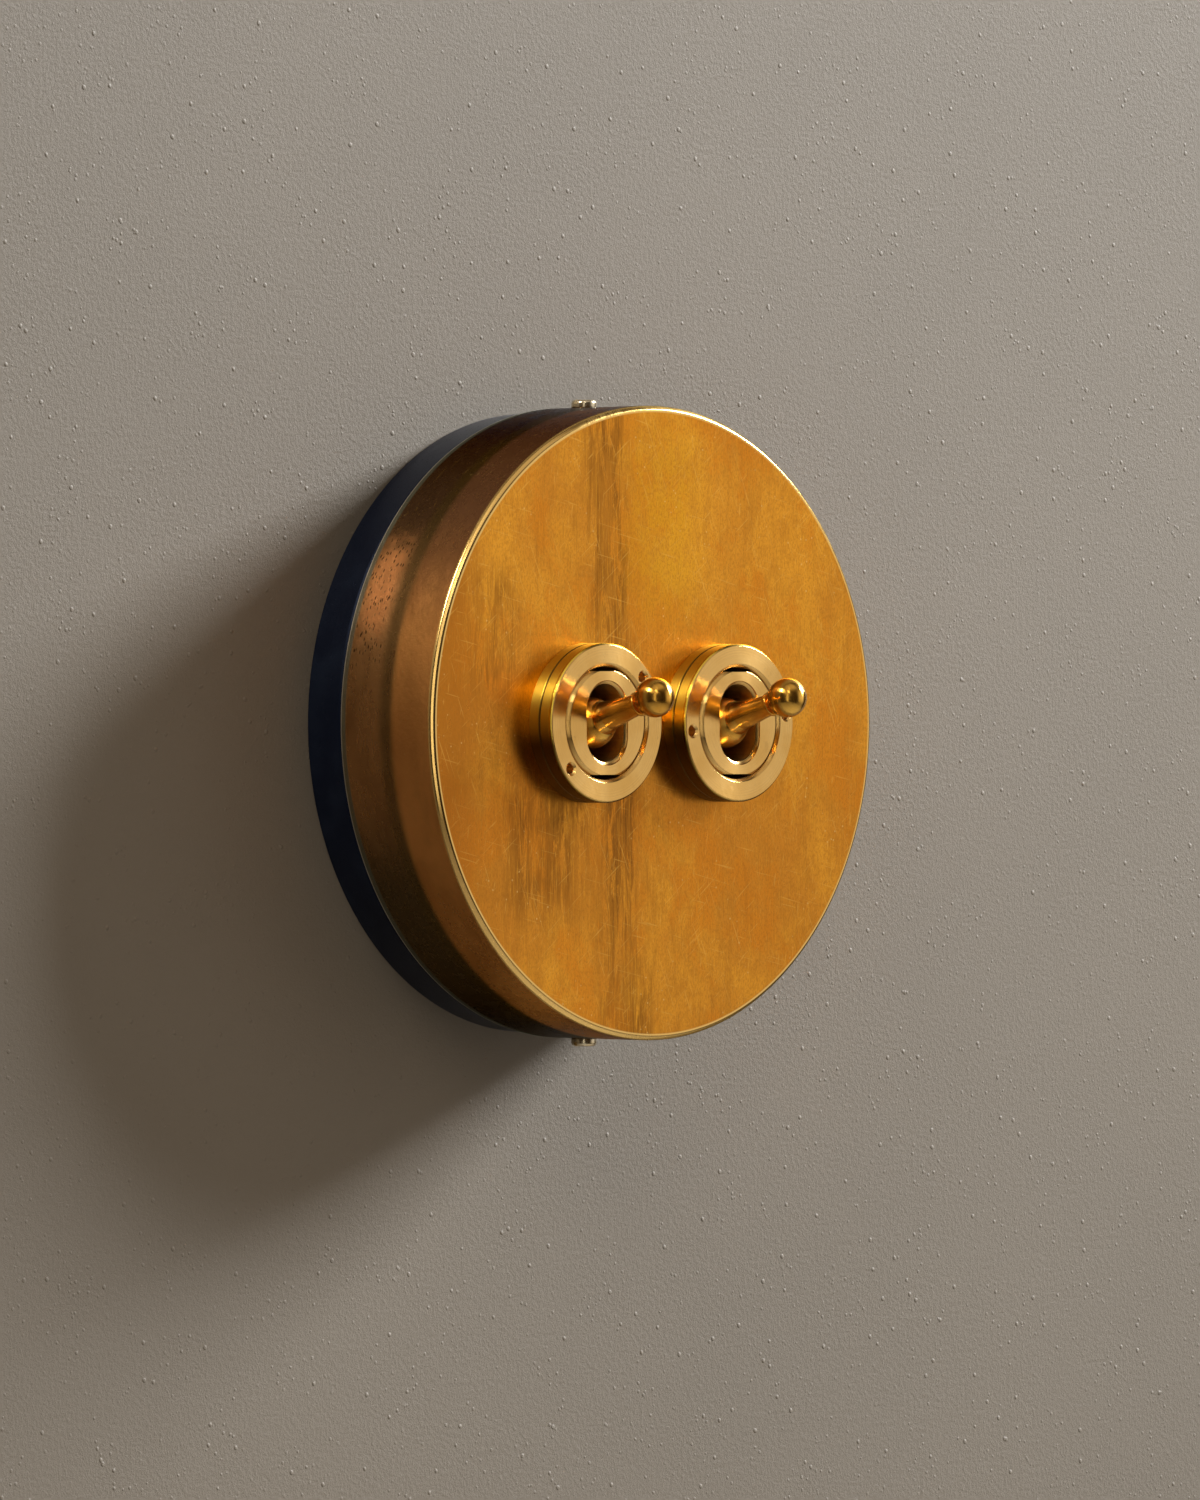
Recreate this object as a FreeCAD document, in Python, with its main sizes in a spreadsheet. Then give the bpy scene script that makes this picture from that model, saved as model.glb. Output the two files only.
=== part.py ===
import FreeCAD
import Part
import Sketcher
import math
import os

# A round two-gang dolly switch for the wall. The frame has +Z up and the wall is the plane
# y = 0: the black base stands on it, the brass cover closes over the base, and its round
# face with the two dollies looks along -Y. The origin is the centre of the base's back.

SIZES = {
    # cover, a brass cup
    "cover_diameter": 125.0,
    "cover_depth": 25.2,
    "cover_wall": 1.6,
    "cover_edge_radius": 1.0,
    "cover_bend_radius": 0.8,
    # base, a black moulding
    "base_inset": 0.9,
    "base_height": 10.2,
    "base_chamfer": 0.3,
    "base_floor": 3.0,
    "spigot_clearance": 0.3,
    "spigot_height": 4.0,
    "spigot_wall": 3.0,
    "lug_width": 12.0,
    "lug_behind_insert": 2.2,
    "lug_above_screw": 4.5,
    "cable_hole_diameter": 20.0,
    "wall_screw_spacing": 60.3,
    "wall_screw_hole_diameter": 4.5,
    # cover screws and the inserts that they turn into
    "cover_screw_height": 5.1,
    "cover_screw_diameter": 3.0,
    "cover_screw_length": 7.0,
    "cover_screw_head_diameter": 5.0,
    "cover_screw_head_height": 1.6,
    "cover_screw_head_rounding": 0.7,
    "screw_slot_width": 0.8,
    "screw_slot_depth": 0.8,
    "screw_hole_clearance": 0.2,
    "thread_clearance": 0.05,
    "insert_diameter": 4.6,
    "insert_length": 6.0,
    "insert_clearance": 0.02,
    # earth terminal on the base's floor
    "earth_edge_gap": 5.0,
    "earth_width": 8.0,
    "earth_length": 11.0,
    "earth_height": 8.0,
    "earth_wire_diameter": 3.5,
    "earth_peg_diameter": 3.2,
    "earth_peg_length": 1.8,
    "earth_screw_diameter": 3.5,
    "earth_screw_head_diameter": 6.0,
    "earth_screw_head_height": 1.8,
    # the two switches, and the rings that clamp them to the cover
    "switch_spacing": 37.6,
    "switch_offset": 1.5,
    "ring_diameter": 31.2,
    "rear_ring_thickness": 2.8,
    "front_ring_thickness": 3.3,
    "ring_groove_chamfer": 0.3,
    "ring_edge_bevel": 0.35,
    "ring_bore_bevel": 0.6,
    "ring_thread_clearance": 0.1,
    "spanner_hole_diameter": 2.0,
    "spanner_hole_depth": 2.2,
    "left_spanner_angle": 41.5,
    "right_spanner_angle": 7.0,
    # outline shared by the bush's flange and the housing
    "switch_width": 26.0,
    "switch_ear": 7.0,
    "switch_corner_radius": 2.5,
    # bush, turned and threaded, with two flats and a flange behind the cover
    "thread_diameter": 22.0,
    "thread_flat_depth": 0.9,
    "bush_bevel": 0.7,
    "cover_hole_clearance": 0.2,
    "flange_thickness": 2.0,
    "slot_width": 10.4,
    "slot_end_wall": 2.1,
    "slot_bevel": 0.3,
    # dolly, one turned lever with a ball end, and its pivot pin
    "pivot_depth": 4.5,
    "dolly_tilt": 16.0,
    "dolly_length": 18.0,
    "ball_diameter": 7.8,
    "neck_diameter": 3.4,
    "collar_diameter": 5.0,
    "collar_gap": 0.25,
    "collar_thickness": 0.9,
    "shank_tip_diameter": 4.3,
    "shank_root_diameter": 6.4,
    "barrel_clearance": 0.2,
    "tail_length": 8.0,
    "tail_wall": 1.7,
    "tail_bore_web": 0.75,
    "pin_diameter": 2.0,
    "pin_recess": 0.5,
    "pin_seat_clearance": 0.01,
    "pin_running_clearance": 0.05,
    # spring plunger in the dolly's tail
    "plunger_diameter": 4.5,
    "plunger_clearance": 0.05,
    "plunger_stroke": 2.2,
    "plunger_shoulder": 2.6,
    "plunger_reach": 4.0,
    "plunger_nose_diameter": 2.6,
    "plunger_wall": 0.65,
    "plunger_pocket_depth": 5.0,
    "spring_side_gap": 0.1,
    "spring_wire_diameter": 0.4,
    "spring_turns": 6.0,
    "spring_end_gap": 0.04,
    # rocker on the fulcrum behind the dolly
    "fulcrum_diameter": 2.0,
    "rocker_tilt": 9.0,
    "rocker_width": 6.0,
    "rocker_length": 11.4,
    "cradle_web": 0.67,
    "cradle_depth": 2.0,
    "cradle_clearance": 0.1,
    "blade_thickness": 0.8,
    "blade_front": 1.0,
    "blade_margin": 0.2,
    "blade_swing_clearance": 1.3,
    "saddle_clearance": 0.03,
    "saddle_relief": 0.1,
    "contact_distance": 9.0,
    "contact_diameter": 3.0,
    "contact_rim": 0.4,
    "contact_dome": 0.4,
    "contact_gap": 0.05,
    "fixed_contact_thickness": 0.6,
    # terminals, each a block with a stem through the housing's floor
    "terminal_width": 8.0,
    "terminal_height": 6.0,
    "terminal_depth": 6.0,
    "terminal_clearance": 0.1,
    "stem_width": 3.0,
    "stem_height": 2.4,
    "pad_width": 5.0,
    "pad_height": 4.0,
    "pad_thickness": 0.8,
    "post_width": 4.4,
    "post_thickness": 1.4,
    "terminal_wire_diameter": 3.0,
    "terminal_wire_depth": 4.6,
    "terminal_screw_diameter": 2.5,
    "terminal_screw_head_diameter": 3.8,
    "terminal_screw_head_height": 1.4,
    "terminal_window_diameter": 4.2,
    # housing and the screws that hold it to the bush
    "cavity_clearance": 0.2,
    "web_thickness": 1.0,
    "terminal_recess": 0.4,
    "housing_screw_margin": 2.7,
    "housing_screw_diameter": 2.5,
    "housing_screw_length": 9.0,
    "housing_screw_head_diameter": 4.6,
    "housing_screw_below": 0.1,
}

doc = FreeCAD.newDocument("dolly_switch")


class Measure:
    """A size with its number now and the expression over the sheet's cells that gives it."""

    def __init__(self, value, text):
        self.value = float(value)
        self.text = text

    def joined(self, other, sign, value):
        return Measure(value, "(" + self.text + " " + sign + " " + other.text + ")")

    def __add__(self, other):
        other = as_measure(other)
        return self.joined(other, "+", self.value + other.value)

    def __radd__(self, other):
        return as_measure(other) + self

    def __sub__(self, other):
        other = as_measure(other)
        return self.joined(other, "-", self.value - other.value)

    def __rsub__(self, other):
        return as_measure(other) - self

    def __mul__(self, other):
        other = as_measure(other)
        return self.joined(other, "*", self.value * other.value)

    def __rmul__(self, other):
        return as_measure(other) * self

    def __truediv__(self, other):
        other = as_measure(other)
        return self.joined(other, "/", self.value / other.value)

    def __neg__(self):
        return Measure(-self.value, "(0 - " + self.text + ")")


def as_measure(number):
    if isinstance(number, Measure):
        return number
    return Measure(number, repr(float(number)))


def root(measure):
    return Measure(math.sqrt(measure.value), "sqrt(" + measure.text + ")")


def cosine(measure):
    return Measure(math.cos(math.radians(measure.value)), "cos(" + measure.text + ")")


def sine(measure):
    return Measure(math.sin(math.radians(measure.value)), "sin(" + measure.text + ")")


def other_leg(long_side, short_side):
    """The third side of a right triangle, from its long side and one other."""
    return root(long_side * long_side - short_side * short_side)


class Sheet:
    """The spreadsheet of driving sizes, each read as an attribute."""

    def __init__(self, sizes):
        sheet = doc.addObject("Spreadsheet::Sheet", "Sizes")
        for row, (name, value) in enumerate(sizes.items(), start=1):
            sheet.set("A%d" % row, name.replace("_", " "))
            sheet.set("B%d" % row, str(value))
            sheet.setAlias("B%d" % row, name)
            setattr(self, name, Measure(value, "Sizes." + name))
        doc.recompute()


size = Sheet(SIZES)
zero = as_measure(0)


# Building blocks

def bind(thing, prop, measure):
    thing.setExpression(prop, as_measure(measure).text)


def new_body(label):
    body = doc.addObject("PartDesign::Body", label)
    body.Label = label
    return body


def origin_part(body, role):
    for feature in body.Origin.OriginFeatures:
        if feature.Role == role:
            return feature
    raise ValueError(role)


def new_sketch(body, name, plane, up=None, side=None):
    """A sketch on one of the body's planes, moved off it by up, and by side along its own y."""
    sketch = body.newObject("Sketcher::SketchObject", name)
    sketch.AttachmentSupport = (origin_part(body, plane), [""])
    sketch.MapMode = "FlatFace"
    if up is not None:
        bind(sketch, "AttachmentOffset.Base.z", up)
    if side is not None:
        bind(sketch, "AttachmentOffset.Base.y", side)
    return sketch


def at_depth(body, name, depth):
    """A sketch facing the room in the plane y = depth: its x is X, its y is Z."""
    return new_sketch(body, name, "XZ_Plane", up=-depth)


def hold(sketch, kind, *args):
    """Adds a constraint whose last argument is a measure, bound to its expression."""
    *places, measure = args
    measure = as_measure(measure)
    index = sketch.addConstraint(Sketcher.Constraint(kind, *places, measure.value))
    if "Sizes" in measure.text:
        sketch.setExpression("Constraints[%d]" % index, measure.text)


def hold_point(sketch, edge, end, x, y):
    hold(sketch, "DistanceX", -1, 1, edge, end, x)
    hold(sketch, "DistanceY", -1, 1, edge, end, y)


def circle(sketch, x, y, radius):
    x, y, radius = as_measure(x), as_measure(y), as_measure(radius)
    centre = FreeCAD.Vector(x.value, y.value, 0)
    ring = Part.Circle(centre, FreeCAD.Vector(0, 0, 1), radius.value)
    edge = sketch.addGeometry(ring, False)
    hold(sketch, "Radius", edge, radius)
    hold_point(sketch, edge, 3, x, y)


def arc_between(start, end, radius, left):
    """The short arc from start to end, its centre to the left or right of that way."""
    chord = end - start
    half = chord.Length / 2
    rise = math.sqrt(max(radius * radius - half * half, 0.0))
    across = FreeCAD.Vector(-chord.y, chord.x, 0).normalize()
    centre = start + chord * 0.5 + across * (rise if left else -rise)
    first, last = (start, end) if left else (end, start)
    angles = [math.atan2(p.y - centre.y, p.x - centre.x) for p in (first, last)]
    if angles[1] < angles[0]:
        angles[1] += 2 * math.pi
    round_ = Part.Circle(centre, FreeCAD.Vector(0, 0, 1), radius)
    return Part.ArcOfCircle(round_, *angles)


def outline(sketch, corners, arcs=None):
    """A closed line through corners. arcs maps a corner's number to (radius, left) for the
    side that runs from it to the next corner as an arc, with its centre on the left or not."""
    arcs = arcs or {}
    corners = [(as_measure(x), as_measure(y)) for x, y in corners]
    points = [FreeCAD.Vector(x.value, y.value, 0) for x, y in corners]
    ends = []
    for number, start in enumerate(points):
        end = points[(number + 1) % len(points)]
        if number in arcs:
            radius, left = arcs[number]
            radius = as_measure(radius)
            edge = sketch.addGeometry(arc_between(start, end, radius.value, left), False)
            ends.append((edge, 1, 2) if left else (edge, 2, 1))
            hold(sketch, "Radius", edge, radius)
        else:
            ends.append((sketch.addGeometry(Part.LineSegment(start, end), False), 1, 2))
    for number, (edge, first, last) in enumerate(ends):
        after, after_first, _ = ends[(number + 1) % len(ends)]
        sketch.addConstraint(Sketcher.Constraint("Coincident", edge, last, after, after_first))
        hold_point(sketch, edge, first, *corners[number])


def rectangle(sketch, x, y, width, height):
    """A rectangle about the point (x, y)."""
    left, right = x - width / 2, x + width / 2
    low, high = y - height / 2, y + height / 2
    outline(sketch, [(left, low), (right, low), (right, high), (left, high)])


def flatted_circle(sketch, x, radius, half_flats):
    """A circle about (x, 0) with a flat above and a flat below."""
    half = other_leg(radius, half_flats)
    outline(
        sketch,
        [(x - half, -half_flats), (x + half, -half_flats), (x + half, half_flats), (x - half, half_flats)],
        {1: (radius, True), 3: (radius, True)},
    )


def upright_slot(sketch, width, height):
    """A slot with round ends about the origin."""
    radius = width / 2
    reach = height / 2 - radius
    axis = FreeCAD.Vector(0, 0, 1)
    ends = []
    for sign, turn in ((1, 0), (-1, math.pi)):
        centre = FreeCAD.Vector(0, sign * reach.value, 0)
        round_ = Part.Circle(centre, axis, radius.value)
        ends.append(sketch.addGeometry(Part.ArcOfCircle(round_, turn, turn + math.pi), False))
    sides = []
    for sign in (-1, 1):
        top = FreeCAD.Vector(sign * radius.value, reach.value, 0)
        foot = FreeCAD.Vector(sign * radius.value, -reach.value, 0)
        side = Part.LineSegment(top, foot) if sign < 0 else Part.LineSegment(foot, top)
        sides.append(sketch.addGeometry(side, False))
    for first, second in ((ends[0], sides[0]), (sides[0], ends[1]), (ends[1], sides[1]), (sides[1], ends[0])):
        sketch.addConstraint(Sketcher.Constraint("Tangent", first, 2, second, 1))
    sketch.addConstraint(Sketcher.Constraint("Equal", ends[0], ends[1]))
    hold(sketch, "Radius", ends[0], radius)
    hold_point(sketch, ends[0], 3, zero, reach)
    hold_point(sketch, ends[1], 3, zero, -reach)


def volume(body):
    doc.recompute()
    return 0.0 if body.Shape.isNull() else body.Shape.Volume


def checked(body, feature, before, grows):
    """Stops the build if a feature changed nothing or went the wrong way."""
    after = volume(body)
    if abs(after - before) < 1e-4 or (after > before) != grows:
        raise RuntimeError("%s of %s changes nothing" % (feature.Label, body.Label))
    return feature


def pad(body, sketch, name, length, middle=False, back=False):
    """Extrudes a sketch along its normal, or to both sides, or against it."""
    before = volume(body)
    feature = body.newObject("PartDesign::Pad", name)
    feature.Profile = sketch
    bind(feature, "Length", length)
    feature.Midplane = middle
    feature.Reversed = back
    return checked(body, feature, before, True)


def pocket(body, sketch, name, length=None, middle=False, back=False):
    """Cuts a sketch into the body against its normal, or along it, or to both sides."""
    before = volume(body)
    feature = body.newObject("PartDesign::Pocket", name)
    feature.Profile = sketch
    if length is None:
        feature.Type = "ThroughAll"
    else:
        bind(feature, "Length", length)
    feature.Midplane = middle
    feature.Reversed = back
    return checked(body, feature, before, False)


def revolve(body, sketch, name, axis="V_Axis"):
    before = volume(body)
    feature = body.newObject("PartDesign::Revolution", name)
    feature.Profile = sketch
    feature.ReferenceAxis = (sketch, [axis])
    feature.Angle = 360
    return checked(body, feature, before, True)


def mirror(body, feature, name, plane):
    """Repeats a feature on the other side of a plane."""
    before = volume(body)
    copy = body.newObject("PartDesign::Mirrored", name)
    copy.Originals = [feature]
    copy.MirrorPlane = (origin_part(body, plane), [""])
    body.Tip = copy
    return checked(body, copy, before, True)


def repeat(body, feature, name, axis, length, count):
    """Repeats a feature count times over a length along an axis."""
    before = volume(body)
    row = body.newObject("PartDesign::LinearPattern", name)
    row.Originals = [feature]
    row.Direction = (origin_part(body, axis), [""])
    bind(row, "Length", length)
    row.Occurrences = count
    body.Tip = row
    return checked(body, row, before, True)


def edges_where(body, test):
    doc.recompute()
    edges = enumerate(body.Tip.Shape.Edges, start=1)
    return ["Edge%d" % number for number, edge in edges if test(edge)]


def bevel(body, name, amount, test):
    """A chamfer along the edges that pass a test."""
    before, base = volume(body), body.Tip
    edges = edges_where(body, test)
    feature = body.newObject("PartDesign::Chamfer", name)
    feature.Base = (base, edges)
    bind(feature, "Size", amount)
    return checked(body, feature, before, False)


def round_off(body, name, radius, test):
    """A fillet along the edges that pass a test."""
    before, base = volume(body), body.Tip
    edges = edges_where(body, test)
    feature = body.newObject("PartDesign::Fillet", name)
    feature.Base = (base, edges)
    bind(feature, "Radius", radius)
    return checked(body, feature, before, False)


def lies_at_depth(edge, depth):
    box = edge.BoundBox
    return abs(box.YMin - depth.value) < 1e-3 and abs(box.YMax - depth.value) < 1e-3


def runs_along_depth(edge):
    box = edge.BoundBox
    return box.XLength < 1e-3 and box.ZLength < 1e-3 and box.YLength > 1e-3


def place(thing, x=None, y=None, z=None, turn=None):
    """Moves a sub-part to its place and turns it about the X axis."""
    for name, measure in (("x", x), ("y", y), ("z", z)):
        if measure is not None:
            bind(thing, "Placement.Base." + name, measure)
    if turn is not None:
        thing.Placement.Rotation = FreeCAD.Rotation(FreeCAD.Vector(1, 0, 0), turn.value)
        bind(thing, "Placement.Rotation.Angle", turn)


# Levels along Y, from the wall to the room, and radii that several pieces share

base_front = -size.base_height
face = base_front - size.cover_depth
cover_inside = face + size.cover_wall
rear_ring_front = face - size.rear_ring_thickness
bush_front = rear_ring_front - size.front_ring_thickness
pivot = bush_front + size.pivot_depth
flange_back = cover_inside + size.flange_thickness
cover_screw_level = base_front - size.cover_screw_height
lug_front = cover_screw_level - size.lug_above_screw

cover_radius = size.cover_diameter / 2
cover_inner_radius = cover_radius - size.cover_wall
spigot_radius = cover_inner_radius - size.spigot_clearance
insert_top = spigot_radius - size.spigot_clearance
base_inner_radius = spigot_radius - size.spigot_wall
earth_distance = base_inner_radius - size.earth_edge_gap - size.earth_width / 2
thread_radius = size.thread_diameter / 2
half_flats = thread_radius - size.thread_flat_depth
slot_height = (half_flats - size.slot_end_wall) * 2
pin_radius = size.pin_diameter / 2
ring_radius = size.ring_diameter / 2
ring_bore = thread_radius + size.ring_thread_clearance
switch_height = size.thread_diameter + size.switch_ear * 2
housing_screw_distance = switch_height / 2 - size.housing_screw_margin


def switch_axis(sign):
    """Where the left (-1) or the right (1) switch stands along X. The pair sits left of centre."""
    return size.switch_spacing / 2 * sign - size.switch_offset


# The plunger slides in the dolly's tail, in the dolly's own frame about its pivot
bore_radius = size.plunger_diameter / 2 + size.plunger_clearance
bore_start = pin_radius + size.pin_running_clearance + size.tail_bore_web
plunger_skirt = bore_start + size.plunger_stroke
plunger_pocket_end = plunger_skirt + size.plunger_pocket_depth
plunger_pocket_radius = size.plunger_diameter / 2 - size.plunger_wall
nose_distance = size.tail_length + size.plunger_reach
nose_radius = size.plunger_nose_diameter / 2

# The blade's saddle sits on the fulcrum, and the cradle stands clear of the saddle
blade_front_level = -size.blade_front
saddle_inner = size.fulcrum_diameter / 2 + size.saddle_clearance
saddle_outer = saddle_inner + size.blade_thickness
saddle_relief = saddle_outer + size.saddle_relief
cradle_bottom = saddle_relief + size.cradle_web
nose_level = cradle_bottom + size.cradle_clearance + nose_radius
fulcrum_distance = nose_distance + nose_level
fulcrum = pivot + fulcrum_distance

# The rocker turns on the fulcrum as the dolly turns on its pin, and the plunger's nose,
# seen from the rocker, runs along a shallow arc. The cradle is that arc, one nose wider.
nose_back = nose_distance * cosine(size.dolly_tilt) - fulcrum_distance
nose_down = nose_distance * sine(size.dolly_tilt)
end_level = -(nose_back * cosine(size.rocker_tilt) - nose_down * sine(size.rocker_tilt))
end_reach = nose_down * cosine(size.rocker_tilt) + nose_back * sine(size.rocker_tilt)
nose_rise = end_level - nose_level
nose_curve = (nose_rise * nose_rise + end_reach * end_reach) / (nose_rise * 2)
cradle_centre = nose_level + nose_curve
cradle_radius = nose_curve + nose_radius + size.cradle_clearance
cradle_front = cradle_bottom + size.cradle_depth

# A moving contact's dome touches the fixed contact at the rocker's full tilt
blade_back = size.blade_thickness - size.blade_front
contact_radius = size.contact_diameter / 2
blade_half = size.contact_distance + contact_radius + size.blade_margin
dome_radius = (contact_radius * contact_radius + size.contact_dome * size.contact_dome) / (
    size.contact_dome * 2
)
dome_centre = blade_back + size.contact_rim + size.contact_dome - dome_radius
contact_reach = (
    dome_centre * cosine(size.rocker_tilt)
    + size.contact_distance * sine(size.rocker_tilt)
    + dome_radius
)
fixed_contact_front = fulcrum + contact_reach + size.contact_gap
pad_front = fixed_contact_front + size.fixed_contact_thickness
cavity_floor = pad_front + size.pad_thickness
terminal_front = cavity_floor + size.web_thickness
terminal_back = terminal_front + size.terminal_depth
housing_back = terminal_back + size.terminal_recess


# Cover: a drawn brass cup, its rim standing on the base's shoulder

def make_cover():
    body = new_body("cover")
    edge, bend = size.cover_edge_radius, size.cover_bend_radius
    profile = new_sketch(body, "cover_profile", "XY_Plane")
    outline(
        profile,
        [
            (cover_radius, base_front),
            (cover_radius, face + edge),
            (cover_radius - edge, face),
            (zero, face),
            (zero, cover_inside),
            (cover_inner_radius - bend, cover_inside),
            (cover_inner_radius, cover_inside + bend),
            (cover_inner_radius, base_front),
        ],
        {1: (edge, False), 5: (bend, True)},
    )
    revolve(body, profile, "cover_cup")
    openings = at_depth(body, "bush_holes", face)
    for side in (-1, 1):
        flatted_circle(
            openings,
            switch_axis(side),
            thread_radius + size.cover_hole_clearance,
            half_flats + size.cover_hole_clearance,
        )
    pocket(body, openings, "bush_hole_cut", size.cover_wall * 2)
    screws = new_sketch(body, "cover_screw_holes", "XY_Plane")
    circle(screws, zero, cover_screw_level, size.cover_screw_diameter / 2 + size.screw_hole_clearance)
    pocket(body, screws, "cover_screw_hole_cut", size.cover_diameter * 2, middle=True)
    return body


# Base: a shallow moulding with a shoulder for the cover and a lug at each cover screw

def make_base():
    body = new_body("base")
    base_radius = cover_radius - size.base_inset
    hole_radius = size.cable_hole_diameter / 2
    spigot_front = base_front - size.spigot_height
    profile = new_sketch(body, "base_profile", "XY_Plane")
    outline(
        profile,
        [
            (hole_radius, zero),
            (base_radius, zero),
            (base_radius, base_front + size.base_chamfer),
            (base_radius - size.base_chamfer, base_front),
            (spigot_radius, base_front),
            (spigot_radius, spigot_front),
            (base_inner_radius, spigot_front),
            (base_inner_radius, -size.base_floor),
            (hole_radius, -size.base_floor),
        ],
    )
    revolve(body, profile, "base_tray")
    lugs = at_depth(body, "lug_outlines", -size.base_floor)
    half = size.lug_width / 2
    outer = other_leg(spigot_radius, half)
    inner = insert_top - size.insert_length - size.lug_behind_insert
    outline(lugs, [(-half, inner), (half, inner), (half, outer), (-half, outer)], {2: (spigot_radius, True)})
    outline(lugs, [(half, -inner), (-half, -inner), (-half, -outer), (half, -outer)], {2: (spigot_radius, True)})
    pad(body, lugs, "lugs", -size.base_floor - lug_front)
    inserts = new_sketch(body, "insert_holes", "XY_Plane")
    circle(inserts, zero, cover_screw_level, size.insert_diameter / 2 + size.insert_clearance)
    pocket(body, inserts, "insert_hole_cut", size.cover_diameter * 2, middle=True)
    screws = at_depth(body, "wall_screw_holes", -size.base_floor)
    for side in (-1, 1):
        circle(screws, size.wall_screw_spacing / 2 * side, zero, size.wall_screw_hole_diameter / 2)
    pocket(body, screws, "wall_screw_hole_cut", size.base_floor * 2)
    peg = at_depth(body, "earth_peg_hole", -size.base_floor)
    circle(peg, earth_distance, zero, size.earth_peg_diameter / 2 + size.insert_clearance)
    pocket(body, peg, "earth_peg_hole_cut", size.earth_peg_length + size.terminal_clearance)
    return body


# Cover screws, one above and one below, and the brass inserts in the lugs

def make_cover_screws():
    body = new_body("cover_screws")
    shank = size.cover_screw_diameter / 2
    head = size.cover_screw_head_diameter / 2
    rounding = size.cover_screw_head_rounding
    top = cover_radius + size.cover_screw_head_height
    tip = cover_radius - size.cover_screw_length
    profile = new_sketch(body, "screw_profile", "XZ_Plane")
    outline(
        profile,
        [
            (zero, tip),
            (shank, tip),
            (shank, cover_radius),
            (head, cover_radius),
            (head, top - rounding),
            (head - rounding, top),
            (zero, top),
        ],
        {4: (rounding, True)},
    )
    screw = revolve(body, profile, "screw")
    mirror(body, screw, "screw_below", "XY_Plane")
    slots = new_sketch(body, "screw_slots", "YZ_Plane")
    for sign in (-1, 1):
        rectangle(slots, zero, top * sign, size.screw_slot_width, size.screw_slot_depth * 2)
    pocket(body, slots, "screw_slot_cut", size.cover_screw_head_diameter * 2, middle=True)
    place(body, y=cover_screw_level)
    return body


def make_base_inserts():
    body = new_body("base_inserts")
    outer = size.insert_diameter / 2
    inner = size.cover_screw_diameter / 2 + size.thread_clearance
    profile = new_sketch(body, "insert_profile", "XZ_Plane")
    foot = insert_top - size.insert_length
    outline(profile, [(inner, foot), (outer, foot), (outer, insert_top), (inner, insert_top)])
    insert = revolve(body, profile, "insert")
    mirror(body, insert, "insert_below", "XY_Plane")
    place(body, y=cover_screw_level)
    return body


# Earth terminal: a block pegged into the base's floor, with its clamp screw

earth_front = -size.base_floor - size.earth_height


def make_earth_terminal():
    body = new_body("earth_terminal")
    block = at_depth(body, "block_outline", -size.base_floor)
    rectangle(block, zero, zero, size.earth_width, size.earth_length)
    pad(body, block, "block", size.earth_height)
    peg = at_depth(body, "peg_outline", -size.base_floor)
    circle(peg, zero, zero, size.earth_peg_diameter / 2)
    pad(body, peg, "peg", size.earth_peg_length, back=True)
    wire = new_sketch(body, "wire_hole", "XY_Plane")
    wire_level = -size.base_floor - size.earth_height / 2
    circle(wire, zero, wire_level, size.earth_wire_diameter / 2)
    pocket(body, wire, "wire_hole_cut", size.earth_length * 2, middle=True)
    thread = at_depth(body, "clamp_hole", earth_front)
    circle(thread, zero, zero, size.earth_screw_diameter / 2 + size.thread_clearance)
    pocket(body, thread, "clamp_hole_cut", size.earth_height / 2)
    place(body, x=earth_distance)
    return body


def make_earth_screw():
    body = new_body("earth_screw")
    shank = size.earth_screw_diameter / 2
    head = size.earth_screw_head_diameter / 2
    tip = earth_front + size.earth_height / 2 - size.earth_wire_diameter / 2
    top = earth_front - size.earth_screw_head_height
    profile = new_sketch(body, "screw_profile", "XY_Plane")
    outline(
        profile,
        [(zero, top), (head, top), (head, earth_front), (shank, earth_front), (shank, tip), (zero, tip)],
    )
    revolve(body, profile, "screw")
    slot = at_depth(body, "screw_slot", top)
    rectangle(slot, zero, zero, size.earth_screw_head_diameter * 2, size.screw_slot_width)
    pocket(body, slot, "screw_slot_cut", size.screw_slot_depth)
    place(body, x=earth_distance)
    return body


# Rings: two threaded rings on the bush clamp the cover against the bush's flange

def make_rear_ring(name, x):
    body = new_body(name)
    chamfer = size.ring_groove_chamfer
    profile = new_sketch(body, "ring_profile", "XY_Plane")
    outline(
        profile,
        [
            (ring_bore, face),
            (ring_radius, face),
            (ring_radius, rear_ring_front + chamfer),
            (ring_radius - chamfer, rear_ring_front),
            (ring_bore, rear_ring_front),
        ],
    )
    revolve(body, profile, "ring")
    place(body, x=x)
    return body


def make_front_ring(name, x, spanner_angle):
    body = new_body(name)
    chamfer, edge, mouth = size.ring_groove_chamfer, size.ring_edge_bevel, size.ring_bore_bevel
    profile = new_sketch(body, "ring_profile", "XY_Plane")
    outline(
        profile,
        [
            (ring_bore, rear_ring_front),
            (ring_radius - chamfer, rear_ring_front),
            (ring_radius, rear_ring_front - chamfer),
            (ring_radius, bush_front + edge),
            (ring_radius - edge, bush_front),
            (ring_bore + mouth, bush_front),
            (ring_bore, bush_front + mouth),
        ],
    )
    revolve(body, profile, "ring")
    holes = at_depth(body, "spanner_holes", bush_front)
    reach = (ring_radius - edge + ring_bore + mouth) / 2
    for sign in (-1, 1):
        across = reach * cosine(spanner_angle) * sign
        rise = reach * sine(spanner_angle) * sign
        circle(holes, across, rise, size.spanner_hole_diameter / 2)
    pocket(body, holes, "spanner_hole_cut", size.spanner_hole_depth)
    place(body, x=x)
    return body


# Bush: one turned piece with the dolly's slot, two flats and a flange for the housing

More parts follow.
